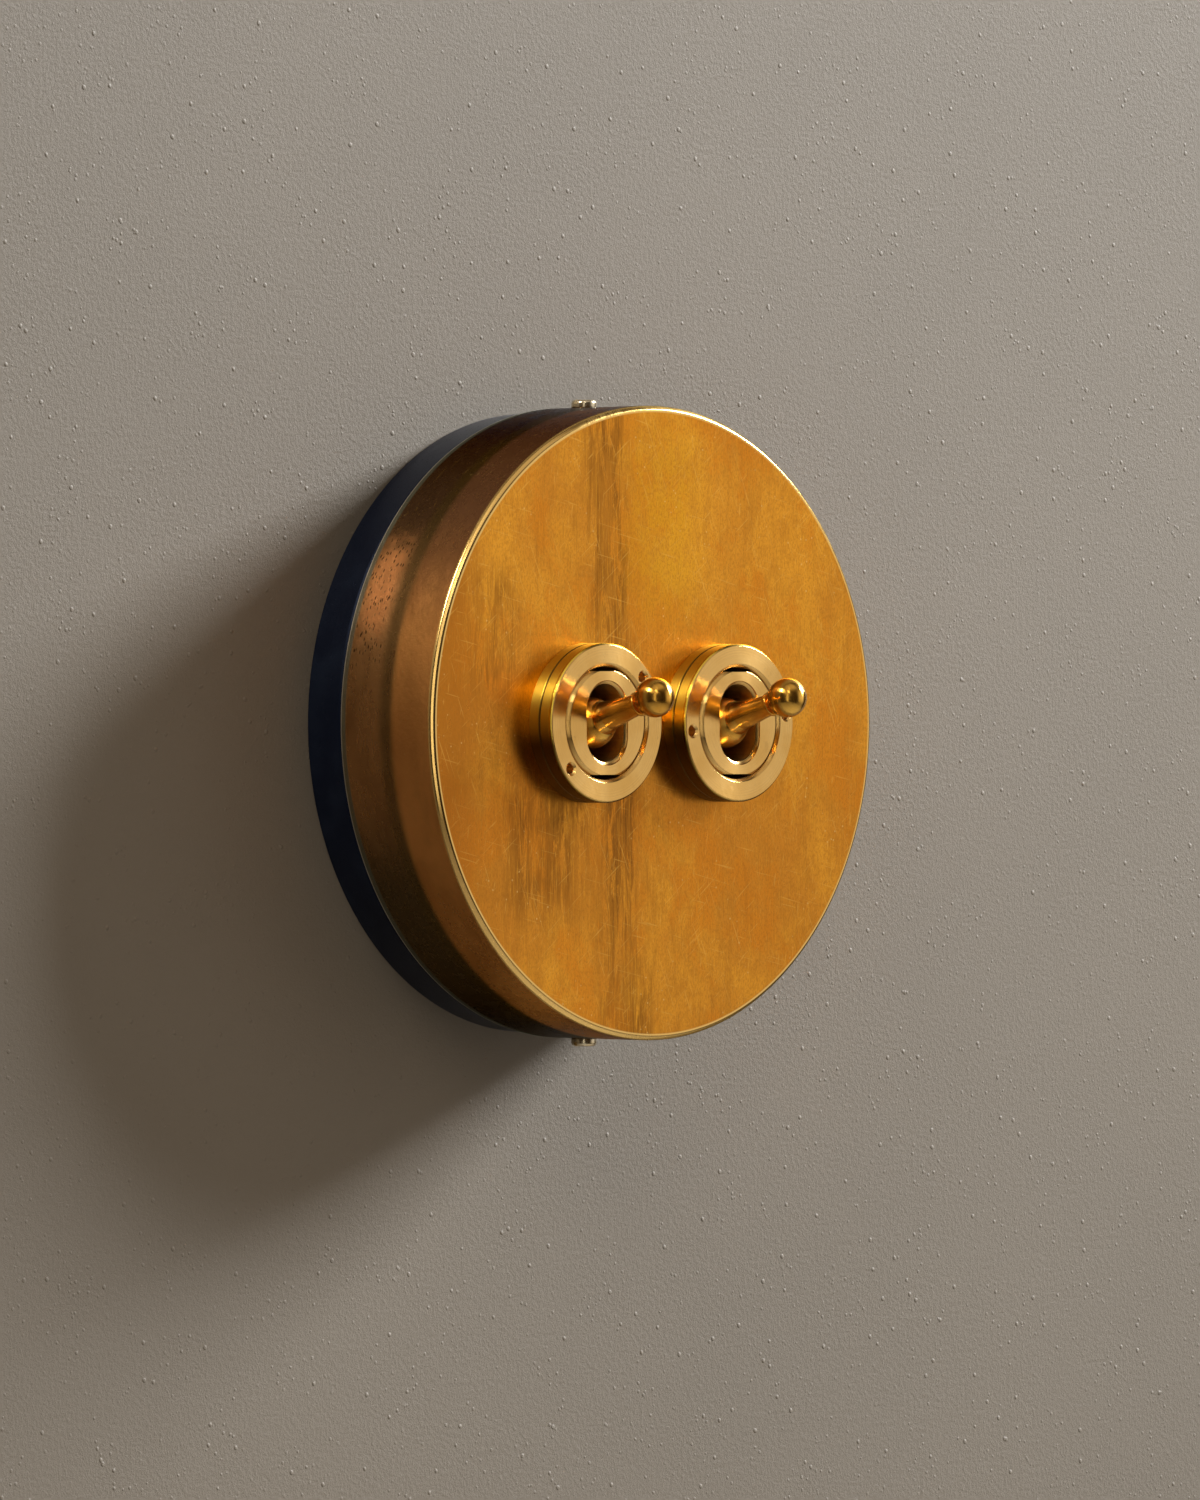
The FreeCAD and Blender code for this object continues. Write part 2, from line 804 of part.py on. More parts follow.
def make_bush(name, x):
    body = new_body(name)
    profile = new_sketch(body, "bush_profile", "XY_Plane")
    outline(
        profile,
        [
            (zero, bush_front),
            (thread_radius - size.bush_bevel, bush_front),
            (thread_radius, bush_front + size.bush_bevel),
            (thread_radius, flange_back),
            (zero, flange_back),
        ],
    )
    revolve(body, profile, "bush_barrel")
    flats = at_depth(body, "flat_outlines", bush_front)
    for sign in (-1, 1):
        middle = (half_flats + thread_radius) / 2 * sign
        rectangle(flats, zero, middle, size.thread_diameter * 1.2, thread_radius - half_flats)
    pocket(body, flats, "flat_cut", cover_inside - bush_front)
    flange = at_depth(body, "flange_outline", flange_back)
    rectangle(flange, zero, zero, size.switch_width, switch_height)
    pad(body, flange, "flange", size.flange_thickness)

    def is_flange_corner(edge):
        side = abs(abs(edge.BoundBox.XMin) - size.switch_width.value / 2) < 1e-3
        return side and runs_along_depth(edge)

    round_off(body, "flange_corners", size.switch_corner_radius, is_flange_corner)
    slot = at_depth(body, "slot_outline", bush_front)
    upright_slot(slot, size.slot_width, slot_height)
    pocket(body, slot, "slot_cut", flange_back - bush_front)

    def is_slot_mouth(edge):
        box = edge.BoundBox
        inside = box.XMax < size.slot_width.value / 2 + 1e-3 and box.XMin > -size.slot_width.value / 2 - 1e-3
        return inside and lies_at_depth(edge, bush_front)

    bevel(body, "slot_mouth", size.slot_bevel, is_slot_mouth)
    pin = new_sketch(body, "pin_hole", "YZ_Plane")
    circle(pin, pivot, zero, pin_radius + size.pin_seat_clearance)
    pocket(body, pin, "pin_hole_cut", size.thread_diameter * 2, middle=True)
    screws = at_depth(body, "housing_screw_holes", cover_inside)
    hole = size.housing_screw_diameter / 2 + size.screw_hole_clearance
    for sign in (-1, 1):
        circle(screws, zero, housing_screw_distance * sign, hole)
    pocket(body, screws, "housing_screw_hole_cut", size.flange_thickness * 2)

    def is_screw_mouth(edge):
        box = edge.BoundBox
        same_size = abs(box.XMin + hole.value) < 1e-3 and abs(box.XMax - hole.value) < 1e-3
        return same_size and lies_at_depth(edge, cover_inside)

    sink = (size.housing_screw_head_diameter - size.housing_screw_diameter) / 2
    bevel(body, "screw_sinks", sink, is_screw_mouth)
    place(body, x=x)
    return body


# Dolly: lever, collar, ball end, a round barrel that fills the slot's width, and a hollow tail,
# all one turned piece about its own axis. Its frame is the pivot, with the ball along -y and the
# tail along +y.

def make_dolly(name, x):
    body = new_body(name)
    ball = size.ball_diameter / 2
    neck = size.neck_diameter / 2
    collar = size.collar_diameter / 2
    shank_tip = size.shank_tip_diameter / 2
    shank_root = size.shank_root_diameter / 2
    barrel = size.slot_width / 2 - size.barrel_clearance
    tail = bore_radius + size.tail_wall
    neck_level = other_leg(ball, neck) - size.dolly_length
    collar_front = neck_level + size.collar_gap
    collar_back = collar_front + size.collar_thickness
    profile = new_sketch(body, "dolly_profile", "XY_Plane")
    outline(
        profile,
        [
            (zero, -size.dolly_length - ball),
            (neck, neck_level),
            (neck, collar_front),
            (collar, collar_front + size.collar_gap),
            (collar, collar_back - size.collar_gap),
            (shank_tip, collar_back),
            (shank_root, -other_leg(barrel, shank_root)),
            (tail, other_leg(barrel, tail)),
            (tail, size.tail_length),
            (bore_radius, size.tail_length),
            (bore_radius, bore_start),
            (zero, bore_start),
        ],
        {0: (ball, True), 6: (barrel, True)},
    )
    revolve(body, profile, "dolly_turned")
    pin = new_sketch(body, "pin_hole", "YZ_Plane")
    circle(pin, zero, zero, pin_radius + size.pin_running_clearance)
    pocket(body, pin, "pin_hole_cut", size.thread_diameter * 2, middle=True)
    place(body, x=x, y=pivot, turn=-size.dolly_tilt)
    return body


def make_pivot_pin(name, x):
    pin = doc.addObject("Part::Cylinder", name)
    pin.Label = name
    bind(pin, "Radius", pin_radius)
    length = size.thread_diameter - size.pin_recess * 2
    bind(pin, "Height", length)
    pin.Placement.Rotation = FreeCAD.Rotation(FreeCAD.Vector(0, 1, 0), 90)
    place(pin, x=x - length / 2, y=pivot)
    return pin


# Plunger: a cup with a round nose that slides in the dolly's tail, over its spring

def make_plunger(name, x):
    body = new_body(name)
    stem = size.plunger_diameter / 2
    profile = new_sketch(body, "plunger_profile", "XY_Plane")
    outline(
        profile,
        [
            (plunger_pocket_radius, plunger_skirt),
            (stem, plunger_skirt),
            (stem, size.tail_length + size.plunger_shoulder),
            (nose_radius, nose_distance),
            (zero, nose_distance + nose_radius),
            (zero, plunger_pocket_end),
            (plunger_pocket_radius, plunger_pocket_end),
        ],
        {3: (nose_radius, True)},
    )
    revolve(body, profile, "plunger_turned")
    place(body, x=x, y=pivot, turn=-size.dolly_tilt)
    return body


def make_plunger_spring(name, x):
    body = new_body(name)
    wire = size.spring_wire_diameter / 2
    start = bore_start + size.spring_end_gap + wire
    end = plunger_pocket_end - size.spring_end_gap - wire
    profile = new_sketch(body, "wire_section", "XY_Plane")
    circle(profile, plunger_pocket_radius - size.spring_side_gap - wire, start, wire)
    coil = body.newObject("PartDesign::AdditiveHelix", "coil")
    coil.Profile = profile
    coil.ReferenceAxis = (profile, ["V_Axis"])
    coil.Mode = "height-turns-angle"
    bind(coil, "Height", end - start)
    bind(coil, "Turns", size.spring_turns)
    place(body, x=x, y=pivot, turn=-size.dolly_tilt)
    return body


# Rocker: a moulded cradle on a brass blade. Their frame is the fulcrum, y towards the wall.

def make_rocker(name, x):
    body = new_body(name)
    half = size.rocker_length / 2
    relief_end = other_leg(saddle_relief, size.blade_front)
    cradle_end = other_leg(cradle_radius, cradle_centre - cradle_front)
    profile = new_sketch(body, "rocker_profile", "YZ_Plane")
    outline(
        profile,
        [
            (blade_front_level, half),
            (blade_front_level, relief_end),
            (blade_front_level, -relief_end),
            (blade_front_level, -half),
            (-cradle_front, -half),
            (-cradle_front, -cradle_end),
            (-cradle_front, cradle_end),
            (-cradle_front, half),
        ],
        {1: (saddle_relief, True), 5: (cradle_radius, True)},
    )
    pad(body, profile, "rocker_cradle", size.rocker_width, middle=True)
    place(body, x=x, y=fulcrum, turn=size.rocker_tilt)
    return body


def make_contact_blade(name, x):
    body = new_body(name)
    half = blade_half
    inner_end = other_leg(saddle_inner, blade_back)
    outer_end = other_leg(saddle_outer, size.blade_front)
    profile = new_sketch(body, "blade_profile", "YZ_Plane")
    outline(
        profile,
        [
            (blade_back, -half),
            (blade_back, -inner_end),
            (blade_back, inner_end),
            (blade_back, half),
            (blade_front_level, half),
            (blade_front_level, outer_end),
            (blade_front_level, -outer_end),
            (blade_front_level, -half),
        ],
        {1: (saddle_inner, False), 5: (saddle_outer, True)},
    )
    pad(body, profile, "blade_strip", size.rocker_width, middle=True)
    place(body, x=x, y=fulcrum, turn=size.rocker_tilt)
    return body


def make_moving_contacts(name, x):
    body = new_body(name)
    rim = blade_back + size.contact_rim
    profile = new_sketch(body, "contact_profile", "YZ_Plane", side=size.contact_distance)
    outline(
        profile,
        [(blade_back, zero), (rim + size.contact_dome, zero), (rim, contact_radius), (blade_back, contact_radius)],
        {1: (dome_radius, True)},
    )
    contact = revolve(body, profile, "contact", axis="H_Axis")
    mirror(body, contact, "contact_below", "XY_Plane")
    place(body, x=x, y=fulcrum, turn=size.rocker_tilt)
    return body


# Terminals: brass blocks in the housing's back, their stems through its floor

terminal_middle = (terminal_front + terminal_back) / 2


def terminal_block(body, z):
    block = at_depth(body, "block_outline", terminal_back)
    rectangle(block, zero, z, size.terminal_width, size.terminal_height)
    pad(body, block, "block", size.terminal_depth)
    stem = at_depth(body, "stem_outline", terminal_front)
    rectangle(stem, zero, z, size.stem_width, size.stem_height)
    pad(body, stem, "stem", size.web_thickness)
    plate = at_depth(body, "pad_outline", cavity_floor)
    rectangle(plate, zero, z, size.pad_width, size.pad_height)
    pad(body, plate, "contact_pad", size.pad_thickness)
    wire = at_depth(body, "wire_hole", terminal_back)
    circle(wire, zero, z, size.terminal_wire_diameter / 2)
    pocket(body, wire, "wire_hole_cut", size.terminal_wire_depth, back=True)
    thread = new_sketch(body, "clamp_hole", "YZ_Plane", up=size.terminal_width / 2)
    circle(thread, terminal_middle, z, size.terminal_screw_diameter / 2 + size.thread_clearance)
    pocket(body, thread, "clamp_hole_cut", size.terminal_width / 2)


def make_end_terminal(name, x, sign):
    body = new_body(name)
    terminal_block(body, size.contact_distance * sign)
    place(body, x=x)
    return body


def make_common_terminal(name, x):
    body = new_body(name)
    terminal_block(body, zero)
    post = at_depth(body, "post_outline", pad_front)
    rectangle(post, zero, zero, size.post_width, size.post_thickness)
    pad(body, post, "post", pad_front - fulcrum)
    bar = new_sketch(body, "fulcrum_outline", "YZ_Plane")
    circle(bar, fulcrum, zero, size.fulcrum_diameter / 2)
    pad(body, bar, "fulcrum_bar", size.rocker_width, middle=True)
    place(body, x=x)
    return body


def make_fixed_contacts(name, x):
    body = new_body(name)
    outlines = at_depth(body, "contact_outlines", pad_front)
    for sign in (-1, 1):
        circle(outlines, zero, size.contact_distance * sign, contact_radius)
    pad(body, outlines, "contacts", size.fixed_contact_thickness)
    place(body, x=x)
    return body


def make_terminal_screws(name, x):
    body = new_body(name)
    shank = size.terminal_screw_diameter / 2
    head = size.terminal_screw_head_diameter / 2
    seat = size.terminal_width / 2
    top = seat + size.terminal_screw_head_height
    tip = size.terminal_wire_diameter / 2
    profile = new_sketch(body, "screw_profile", "XY_Plane", up=-size.contact_distance, side=terminal_middle)
    outline(
        profile,
        [(tip, zero), (top, zero), (top, head), (seat, head), (seat, shank), (tip, shank)],
    )
    screw = revolve(body, profile, "screw", axis="H_Axis")
    repeat(body, screw, "screw_row", "Z_Axis", size.contact_distance * 2, 3)
    place(body, x=x)
    return body


# Housing: a moulded box screwed to the bush's flange, open to the dolly at the front

def make_housing(name, x):
    body = new_body(name)
    block = at_depth(body, "housing_outline", housing_back)
    rectangle(block, zero, zero, size.switch_width, switch_height)
    pad(body, block, "housing_block", housing_back - flange_back)
    round_off(body, "housing_corners", size.switch_corner_radius, runs_along_depth)
    cavity = at_depth(body, "cavity_outline", flange_back)
    cavity_width = size.slot_width + size.cavity_clearance * 2
    cavity_height = (blade_half + size.blade_swing_clearance) * 2
    rectangle(cavity, zero, zero, cavity_width, cavity_height)
    pocket(body, cavity, "cavity", cavity_floor - flange_back)
    gap = size.terminal_clearance * 2
    levels = (-size.contact_distance, zero, size.contact_distance)
    chambers = at_depth(body, "chamber_outlines", housing_back)
    for z in levels:
        rectangle(chambers, zero, z, size.terminal_width + gap, size.terminal_height + gap)
    pocket(body, chambers, "chambers", housing_back - terminal_front, back=True)
    stems = at_depth(body, "stem_holes", terminal_front)
    for z in levels:
        rectangle(stems, zero, z, size.stem_width + gap, size.stem_height + gap)
    pocket(body, stems, "stem_hole_cut", size.web_thickness, back=True)
    windows = new_sketch(body, "window_outlines", "YZ_Plane", up=size.switch_width / 2)
    for z in levels:
        circle(windows, terminal_middle, z, size.terminal_window_diameter / 2)
    pocket(body, windows, "windows", (size.switch_width - size.terminal_width) / 2)
    screws = at_depth(body, "screw_holes", flange_back)
    for sign in (-1, 1):
        circle(
            screws,
            zero,
            housing_screw_distance * sign,
            size.housing_screw_diameter / 2 + size.thread_clearance,
        )
    pocket(body, screws, "screw_hole_cut", size.housing_screw_length)
    place(body, x=x)
    return body


def make_housing_screws(name, x):
    body = new_body(name)
    shank = size.housing_screw_diameter / 2
    head = size.housing_screw_head_diameter / 2
    top = cover_inside + size.housing_screw_below
    neck = top + head - shank
    tip = flange_back + size.housing_screw_length - size.screw_hole_clearance
    profile = new_sketch(body, "screw_profile", "YZ_Plane", side=housing_screw_distance)
    outline(profile, [(top, zero), (tip, zero), (tip, shank), (neck, shank), (top, head)])
    screw = revolve(body, profile, "screw", axis="H_Axis")
    mirror(body, screw, "screw_below", "XY_Plane")
    place(body, x=x)
    return body


def make_switch(side, sign, spanner_angle):
    x = switch_axis(sign)
    return [
        make_bush(side + "_bush", x),
        make_rear_ring(side + "_rear_ring", x),
        make_front_ring(side + "_front_ring", x, spanner_angle),
        make_dolly(side + "_dolly", x),
        make_pivot_pin(side + "_pivot_pin", x),
        make_plunger(side + "_plunger", x),
        make_plunger_spring(side + "_plunger_spring", x),
        make_rocker(side + "_rocker", x),
        make_contact_blade(side + "_contact_blade", x),
        make_moving_contacts(side + "_moving_contacts", x),
        make_common_terminal(side + "_common_terminal", x),
        make_end_terminal(side + "_upper_terminal", x, 1),
        make_end_terminal(side + "_lower_terminal", x, -1),
        make_fixed_contacts(side + "_fixed_contacts", x),
        make_terminal_screws(side + "_terminal_screws", x),
        make_housing(side + "_housing", x),
        make_housing_screws(side + "_housing_screws", x),
    ]


pieces = [
    make_cover(),
    make_base(),
    make_cover_screws(),
    make_base_inserts(),
    make_earth_terminal(),
    make_earth_screw(),
]
pieces += make_switch("left", -1, size.left_spanner_angle)
pieces += make_switch("right", 1, size.right_spanner_angle)

doc.recompute()
for thing in doc.Objects:
    if "Invalid" in thing.State or "Error" in thing.State:
        raise RuntimeError("%s failed: %s" % (thing.Label, thing.State))
for piece in pieces:
    if piece.Shape.isNull() or not piece.Shape.isValid():
        raise RuntimeError("%s has no sound shape" % piece.Label)
os.makedirs("parts", exist_ok=True)
for piece in pieces:
    piece.Shape.exportStep("parts/%s.step" % piece.Label)
    box = piece.Shape.BoundBox
    print(
        "%-24s solids %d volume %9.2f  x %.2f..%.2f y %.2f..%.2f z %.2f..%.2f"
        % (
            piece.Label, len(piece.Shape.Solids), piece.Shape.Volume,
            box.XMin, box.XMax, box.YMin, box.YMax, box.ZMin, box.ZMax,
        )
    )
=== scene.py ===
import math

import bmesh
import bpy
from mathutils import Matrix, Vector


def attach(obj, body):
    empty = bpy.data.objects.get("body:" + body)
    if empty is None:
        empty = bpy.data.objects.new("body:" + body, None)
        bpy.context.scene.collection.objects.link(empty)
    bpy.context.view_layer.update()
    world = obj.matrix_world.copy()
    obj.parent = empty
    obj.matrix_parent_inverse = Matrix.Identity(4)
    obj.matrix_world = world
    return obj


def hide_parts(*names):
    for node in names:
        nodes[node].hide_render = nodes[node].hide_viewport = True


# A round two-gang dolly switch on a wall. The frame is the part's own: +Z up, the wall is the
# plane y = 0 and the switch looks along -Y. The shapes are drawn in millimetres and scaled to
# metres as they reach a mesh.

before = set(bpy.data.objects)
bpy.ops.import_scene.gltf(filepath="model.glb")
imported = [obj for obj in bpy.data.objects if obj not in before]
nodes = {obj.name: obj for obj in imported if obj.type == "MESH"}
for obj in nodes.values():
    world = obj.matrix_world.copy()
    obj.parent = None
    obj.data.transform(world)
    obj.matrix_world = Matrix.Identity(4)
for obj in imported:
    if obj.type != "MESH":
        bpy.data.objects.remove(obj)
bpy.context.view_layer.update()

MM = 0.001

# Sizes of the pieces that are drawn again here with finer edges, as in the part's source

COVER_RADIUS = 62.5
COVER_WALL = 1.6
COVER_REAR = -10.2
FACE = -35.4
SCREW_LEVEL = -15.3
COVER_SCREW_HOLE = 1.7

BASE_RADIUS = 61.6
BASE_FLOOR = 3.0
SPIGOT_RADIUS = 60.6
SPIGOT_WALL = 3.0
SPIGOT_FRONT = -14.2
LUG_WIDTH = 12.0
LUG_INNER = 52.1
LUG_FRONT = -19.8
INSERT_HOLE = 2.32
CABLE_HOLE_RADIUS = 10.0
WALL_SCREW_SPACING = 60.3
WALL_SCREW_RADIUS = 2.25

SIDES = {"left": -20.3, "right": 17.3}
SPANNER_ANGLES = {"left": 41.5, "right": 7.0}
SPANNER_REACH = 13.475
SPANNER_HOLE = 1.0
RING_RADIUS = 15.6
RING_BORE = 11.1
GROOVE = -38.2
GROOVE_ROUND = 0.35
BUSH_FRONT = -41.5
BUSH_RADIUS = 11.0
FLAT_LEVEL = 10.1
FLANGE_BACK = -31.8
FLANGE_FRONT = -33.8
HOUSING_SCREW_LEVEL = 15.3
HOUSING_SCREW_HOLE = 1.45
HOUSING_SCREW_SINK = 2.55
SLOT_WIDTH = 10.3
SLOT_HEIGHT = 15.4

PIVOT = -37.0
TILT = 16.0
BALL = 3.899
BALL_DISTANCE = 18.0
NECK = 1.7
COLLAR = 2.5
SHANK_TIP = 2.15
SHANK_ROOT = 3.2
BARREL = 5.0
TAIL = 4.0
TAIL_END = -8.0
TAIL_BORE = 2.3
TAIL_BORE_FLOOR = -1.8


# Profiles and meshes

def rounded(corners, steps=6):
    """A closed outline from (x, y, radius) corners, each rounded by an arc if its radius is set."""
    outline = []
    for number, (x, y, radius) in enumerate(corners):
        here = Vector((x, y))
        if not radius:
            outline.append((x, y))
            continue
        before = Vector(corners[number - 1][:2]) - here
        after = Vector(corners[(number + 1) % len(corners)][:2]) - here
        before.normalize()
        after.normalize()
        half = before.angle(after) / 2
        centre = here + (before + after).normalized() * (radius / math.sin(half))
        reach = radius / math.tan(half)
        first = here + before * reach - centre
        last = here + after * reach - centre
        sweep = first.angle_signed(last)
        for step in range(steps + 1):
            turned = first.copy()
            turned.rotate(Matrix.Rotation(-sweep * step / steps, 2))
            outline.append(tuple(centre + turned))
    return outline


def lathe(shape, outline, segments, centre=(0.0, 0.0)):
    """Turns a closed outline of (radius, level) points about a line along Y into the mesh."""
    rings = []
    for radius, level in outline:
        on_axis = radius < 1e-6
        if on_axis:
            rings.append([shape.verts.new((centre[0] * MM, level * MM, centre[1] * MM))])
            continue
        ring = []
        for step in range(segments):
            turn = 2 * math.pi * step / segments
            x = centre[0] + radius * math.cos(turn)
            z = centre[1] + radius * math.sin(turn)
            ring.append(shape.verts.new((x * MM, level * MM, z * MM)))
        rings.append(ring)
    for number, ring in enumerate(rings):
        other = rings[(number + 1) % len(rings)]
        for step in range(segments):
            after = (step + 1) % segments
            corners = [
                ring[step % len(ring)],
                ring[after % len(ring)],
                other[after % len(other)],
                other[step % len(other)],
            ]
            corners = list(dict.fromkeys(corners))
            if len(corners) > 2:
                shape.faces.new(corners)
    bmesh.ops.recalc_face_normals(shape, faces=shape.faces)


def stack(shape, outlines):
    """Joins outlines of equal count, each a list of (x, y, z), into one closed solid."""
    rows = [[shape.verts.new(Vector(point) * MM) for point in outline] for outline in outlines]
    count = len(rows[0])
    for low, high in zip(rows, rows[1:]):
        for step in range(count):
            after = (step + 1) % count
            shape.faces.new([low[step], low[after], high[after], high[step]])
    shape.faces.new(rows[0])
    shape.faces.new(rows[-1])
    bmesh.ops.recalc_face_normals(shape, faces=shape.faces)


def prism(shape, outline, levels):
    """A closed solid from an outline of (x, z) points, carried from one level to another."""
    stack(shape, [[(x, level, z) for x, z in outline] for level in levels])


def block(shape, low, high):
    """A plain box between two corners, for a cut."""
    square = [(low[0], low[2]), (high[0], low[2]), (high[0], high[2]), (low[0], high[2])]
    prism(shape, square, (low[1], high[1]))


def round_bar(shape, start, end, radius, end_radius=None):
    """A round bar between two points, or a cone if it ends in another radius."""
    segments = 48
    start, end = Vector(start), Vector(end)
    along = (end - start).normalized()
    across = along.orthogonal().normalized()
    up = along.cross(across)
    outlines = []
    for point, reach in ((start, radius), (end, radius if end_radius is None else end_radius)):
        turns = [2 * math.pi * step / segments for step in range(segments)]
        outlines.append([point + (across * math.cos(t) + up * math.sin(t)) * reach for t in turns])
    stack(shape, outlines)


def slot_outline(x, level, width, height):
    """An upright slot with round ends about (x, 0), at a level."""
    steps = 24
    radius = width / 2
    reach = height / 2 - radius
    outline = []
    for sign in (1, -1):
        for step in range(steps + 1):
            turn = math.pi * step / steps + (0 if sign > 0 else math.pi)
            outline.append((x + radius * math.cos(turn), level, sign * reach + radius * math.sin(turn)))
    return outline


def drawn(name, draw):
    """An object from a function that draws its mesh."""
    shape = bmesh.new()
    draw(shape)
    mesh = bpy.data.meshes.new(name)
    shape.to_mesh(mesh)
    shape.free()
    thing = bpy.data.objects.new(name, mesh)
    bpy.context.scene.collection.objects.link(thing)
    return thing


def build(name, draw, *steps):
    """An object from a drawing function, then cut or joined step by step."""
    piece = drawn(name, draw)
    for operation, drawing in steps:
        other = drawn(name + "_tool", drawing)
        modifier = piece.modifiers.new("step", "BOOLEAN")
        modifier.operation = operation
        modifier.solver = "EXACT"
        modifier.object = other
        result = piece.evaluated_get(bpy.context.evaluated_depsgraph_get())
        plain = piece.data
        piece.data = bpy.data.meshes.new_from_object(result)
        piece.modifiers.clear()
        bpy.data.meshes.remove(plain)
        bpy.data.meshes.remove(other.data)
        piece.data.name = name
    return piece


def finish_piece(piece, material, slot, body, *replaced, sharp=30.0):
    """Smooths a piece up to a sharp angle, dresses it and puts it on its body."""
    piece.data.shade_smooth()
    piece.data.set_sharp_from_angle(angle=math.radians(sharp))
    weighted = piece.modifiers.new("flat_faces", "WEIGHTED_NORMAL")
    weighted.keep_sharp = True
    weighted.weight = 100
    piece.data.materials.clear()
    piece.data.materials.append(material)
    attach(piece, body)
    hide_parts(*replaced)


# Materials

class Nodes:
    """A node tree whose nodes are added by short calls. Each call gives back the new output."""

    def __init__(self, tree):
        self.tree = tree
        self.tree.nodes.clear()

    def join(self, source, target):
        self.tree.links.new(source, target)

    def put(self, socket, value):
        """Feeds a value into a socket, by a link if it comes from a node."""
        if isinstance(value, bpy.types.NodeSocket):
            self.join(value, socket)
        elif isinstance(value, (tuple, list)) and len(socket.default_value) == 4 and len(value) == 3:
            socket.default_value = (*value, 1.0)
        else:
            socket.default_value = value

    def scaled(self, vector, scale, turn=0.0):
        """Turns a vector about Y by some degrees and then scales it."""
        if turn:
            rotation = self.tree.nodes.new("ShaderNodeVectorRotate")
            rotation.rotation_type = "Y_AXIS"
            self.put(rotation.inputs["Vector"], vector)
            rotation.inputs["Angle"].default_value = math.radians(turn)
            vector = rotation.outputs["Vector"]
        mapping = self.tree.nodes.new("ShaderNodeMapping")
        self.put(mapping.inputs["Vector"], vector)
        mapping.inputs["Scale"].default_value = scale
        return mapping.outputs["Vector"]

    def split(self, vector):
        parts = self.tree.nodes.new("ShaderNodeSeparateXYZ")
        self.put(parts.inputs["Vector"], vector)
        return parts.outputs["X"], parts.outputs["Y"], parts.outputs["Z"]

    def joined(self, x, y, z):
        whole = self.tree.nodes.new("ShaderNodeCombineXYZ")
        for socket, value in zip(whole.inputs, (x, y, z)):
            self.put(socket, value)
        return whole.outputs["Vector"]

    def total(self, *values):
        result = values[0]
        for value in values[1:]:
            result = self.maths("ADD", result, value)
        return result

    def product(self, *values):
        result = values[0]
        for value in values[1:]:
            result = self.maths("MULTIPLY", result, value)
        return result

    def highest(self, *values):
        result = values[0]
        for value in values[1:]:
            result = self.maths("MAXIMUM", result, value)
        return result

    def maths(self, operation, *values):
        node = self.tree.nodes.new("ShaderNodeMath")
        node.operation = operation
        for socket, value in zip(node.inputs, values):
            self.put(socket, value)
        return node.outputs["Value"]

    def noise(self, vector, scale=1.0, detail=3.0, roughness=0.55, distortion=0.0):
        node = self.tree.nodes.new("ShaderNodeTexNoise")
        self.put(node.inputs["Vector"], vector)
        self.put(node.inputs["Scale"], scale)
        self.put(node.inputs["Detail"], detail)
        self.put(node.inputs["Roughness"], roughness)
        self.put(node.inputs["Distortion"], distortion)
        return node.outputs["Fac"]

    def spots(self, vector, scale):
        """The distance to the nearest of scattered points."""
        node = self.tree.nodes.new("ShaderNodeTexVoronoi")
        self.put(node.inputs["Vector"], vector)
        self.put(node.inputs["Scale"], scale)
        return node.outputs["Distance"]

    def band(self, value, low, high, to_low=0.0, to_high=1.0):
        """A smooth step of a value from low to high."""
        node = self.tree.nodes.new("ShaderNodeMapRange")
        node.interpolation_type = "SMOOTHSTEP"
        self.put(node.inputs["Value"], value)
        self.put(node.inputs["From Min"], low)
        self.put(node.inputs["From Max"], high)
        self.put(node.inputs["To Min"], to_low)
        self.put(node.inputs["To Max"], to_high)
        return node.outputs["Result"]

    def hill(self, value, middle, reach, flat=0.0):
        """One at the middle and as far as flat, down to nothing at reach on both sides."""
        away = self.maths("ABSOLUTE", self.maths("SUBTRACT", value, middle))
        return self.band(away, flat, reach, 1.0, 0.0)

    def patch(self, across, up, around_x, around_z):
        """A hill in two ways at once, each way given as its middle, its reach and its flat part."""
        return self.product(self.hill(across, *around_x), self.hill(up, *around_z))

    def blend(self, factor, first, second):
        """The first tone where the factor is nothing, the second where it is one."""
        node = self.tree.nodes.new("ShaderNodeMix")
        node.data_type = "RGBA"
        self.put(node.inputs["Factor"], factor)
        self.put(node.inputs["A"], first)
        self.put(node.inputs["B"], second)
        return node.outputs["Result"]

    def bump(self, height, strength, distance):
        node = self.tree.nodes.new("ShaderNodeBump")
        self.put(node.inputs["Height"], height)
        node.inputs["Strength"].default_value = strength
        node.inputs["Distance"].default_value = distance
        return node.outputs["Normal"]


class Look(Nodes):
    """The material of one kind of surface."""

    def __init__(self, name, **sockets):
        self.material = bpy.data.materials.new(name)
        self.material.use_nodes = True
        super().__init__(self.material.node_tree)
        self.output = self.tree.nodes.new("ShaderNodeOutputMaterial")
        self.surface = self.tree.nodes.new("ShaderNodeBsdfPrincipled")
        self.join(self.surface.outputs["BSDF"], self.output.inputs["Surface"])
        for socket, value in sockets.items():
            self.surface.inputs[socket.replace("_", " ").title()].default_value = value

    def set(self, socket, value):
        self.put(self.surface.inputs[socket], value)

    def place(self):
        """The piece's own coordinates in millimetres."""
        coordinates = self.tree.nodes.new("ShaderNodeTexCoord")
        return self.scaled(coordinates.outputs["Object"], (1 / MM, 1 / MM, 1 / MM))

    def far_from(self, centre, place):
        """The distance from a line along Y through (centre, 0)."""
        x, _, z = self.split(place)
        x = self.maths("SUBTRACT", x, centre)
        return self.maths("SQRT", self.total(self.product(x, x), self.product(z, z)))


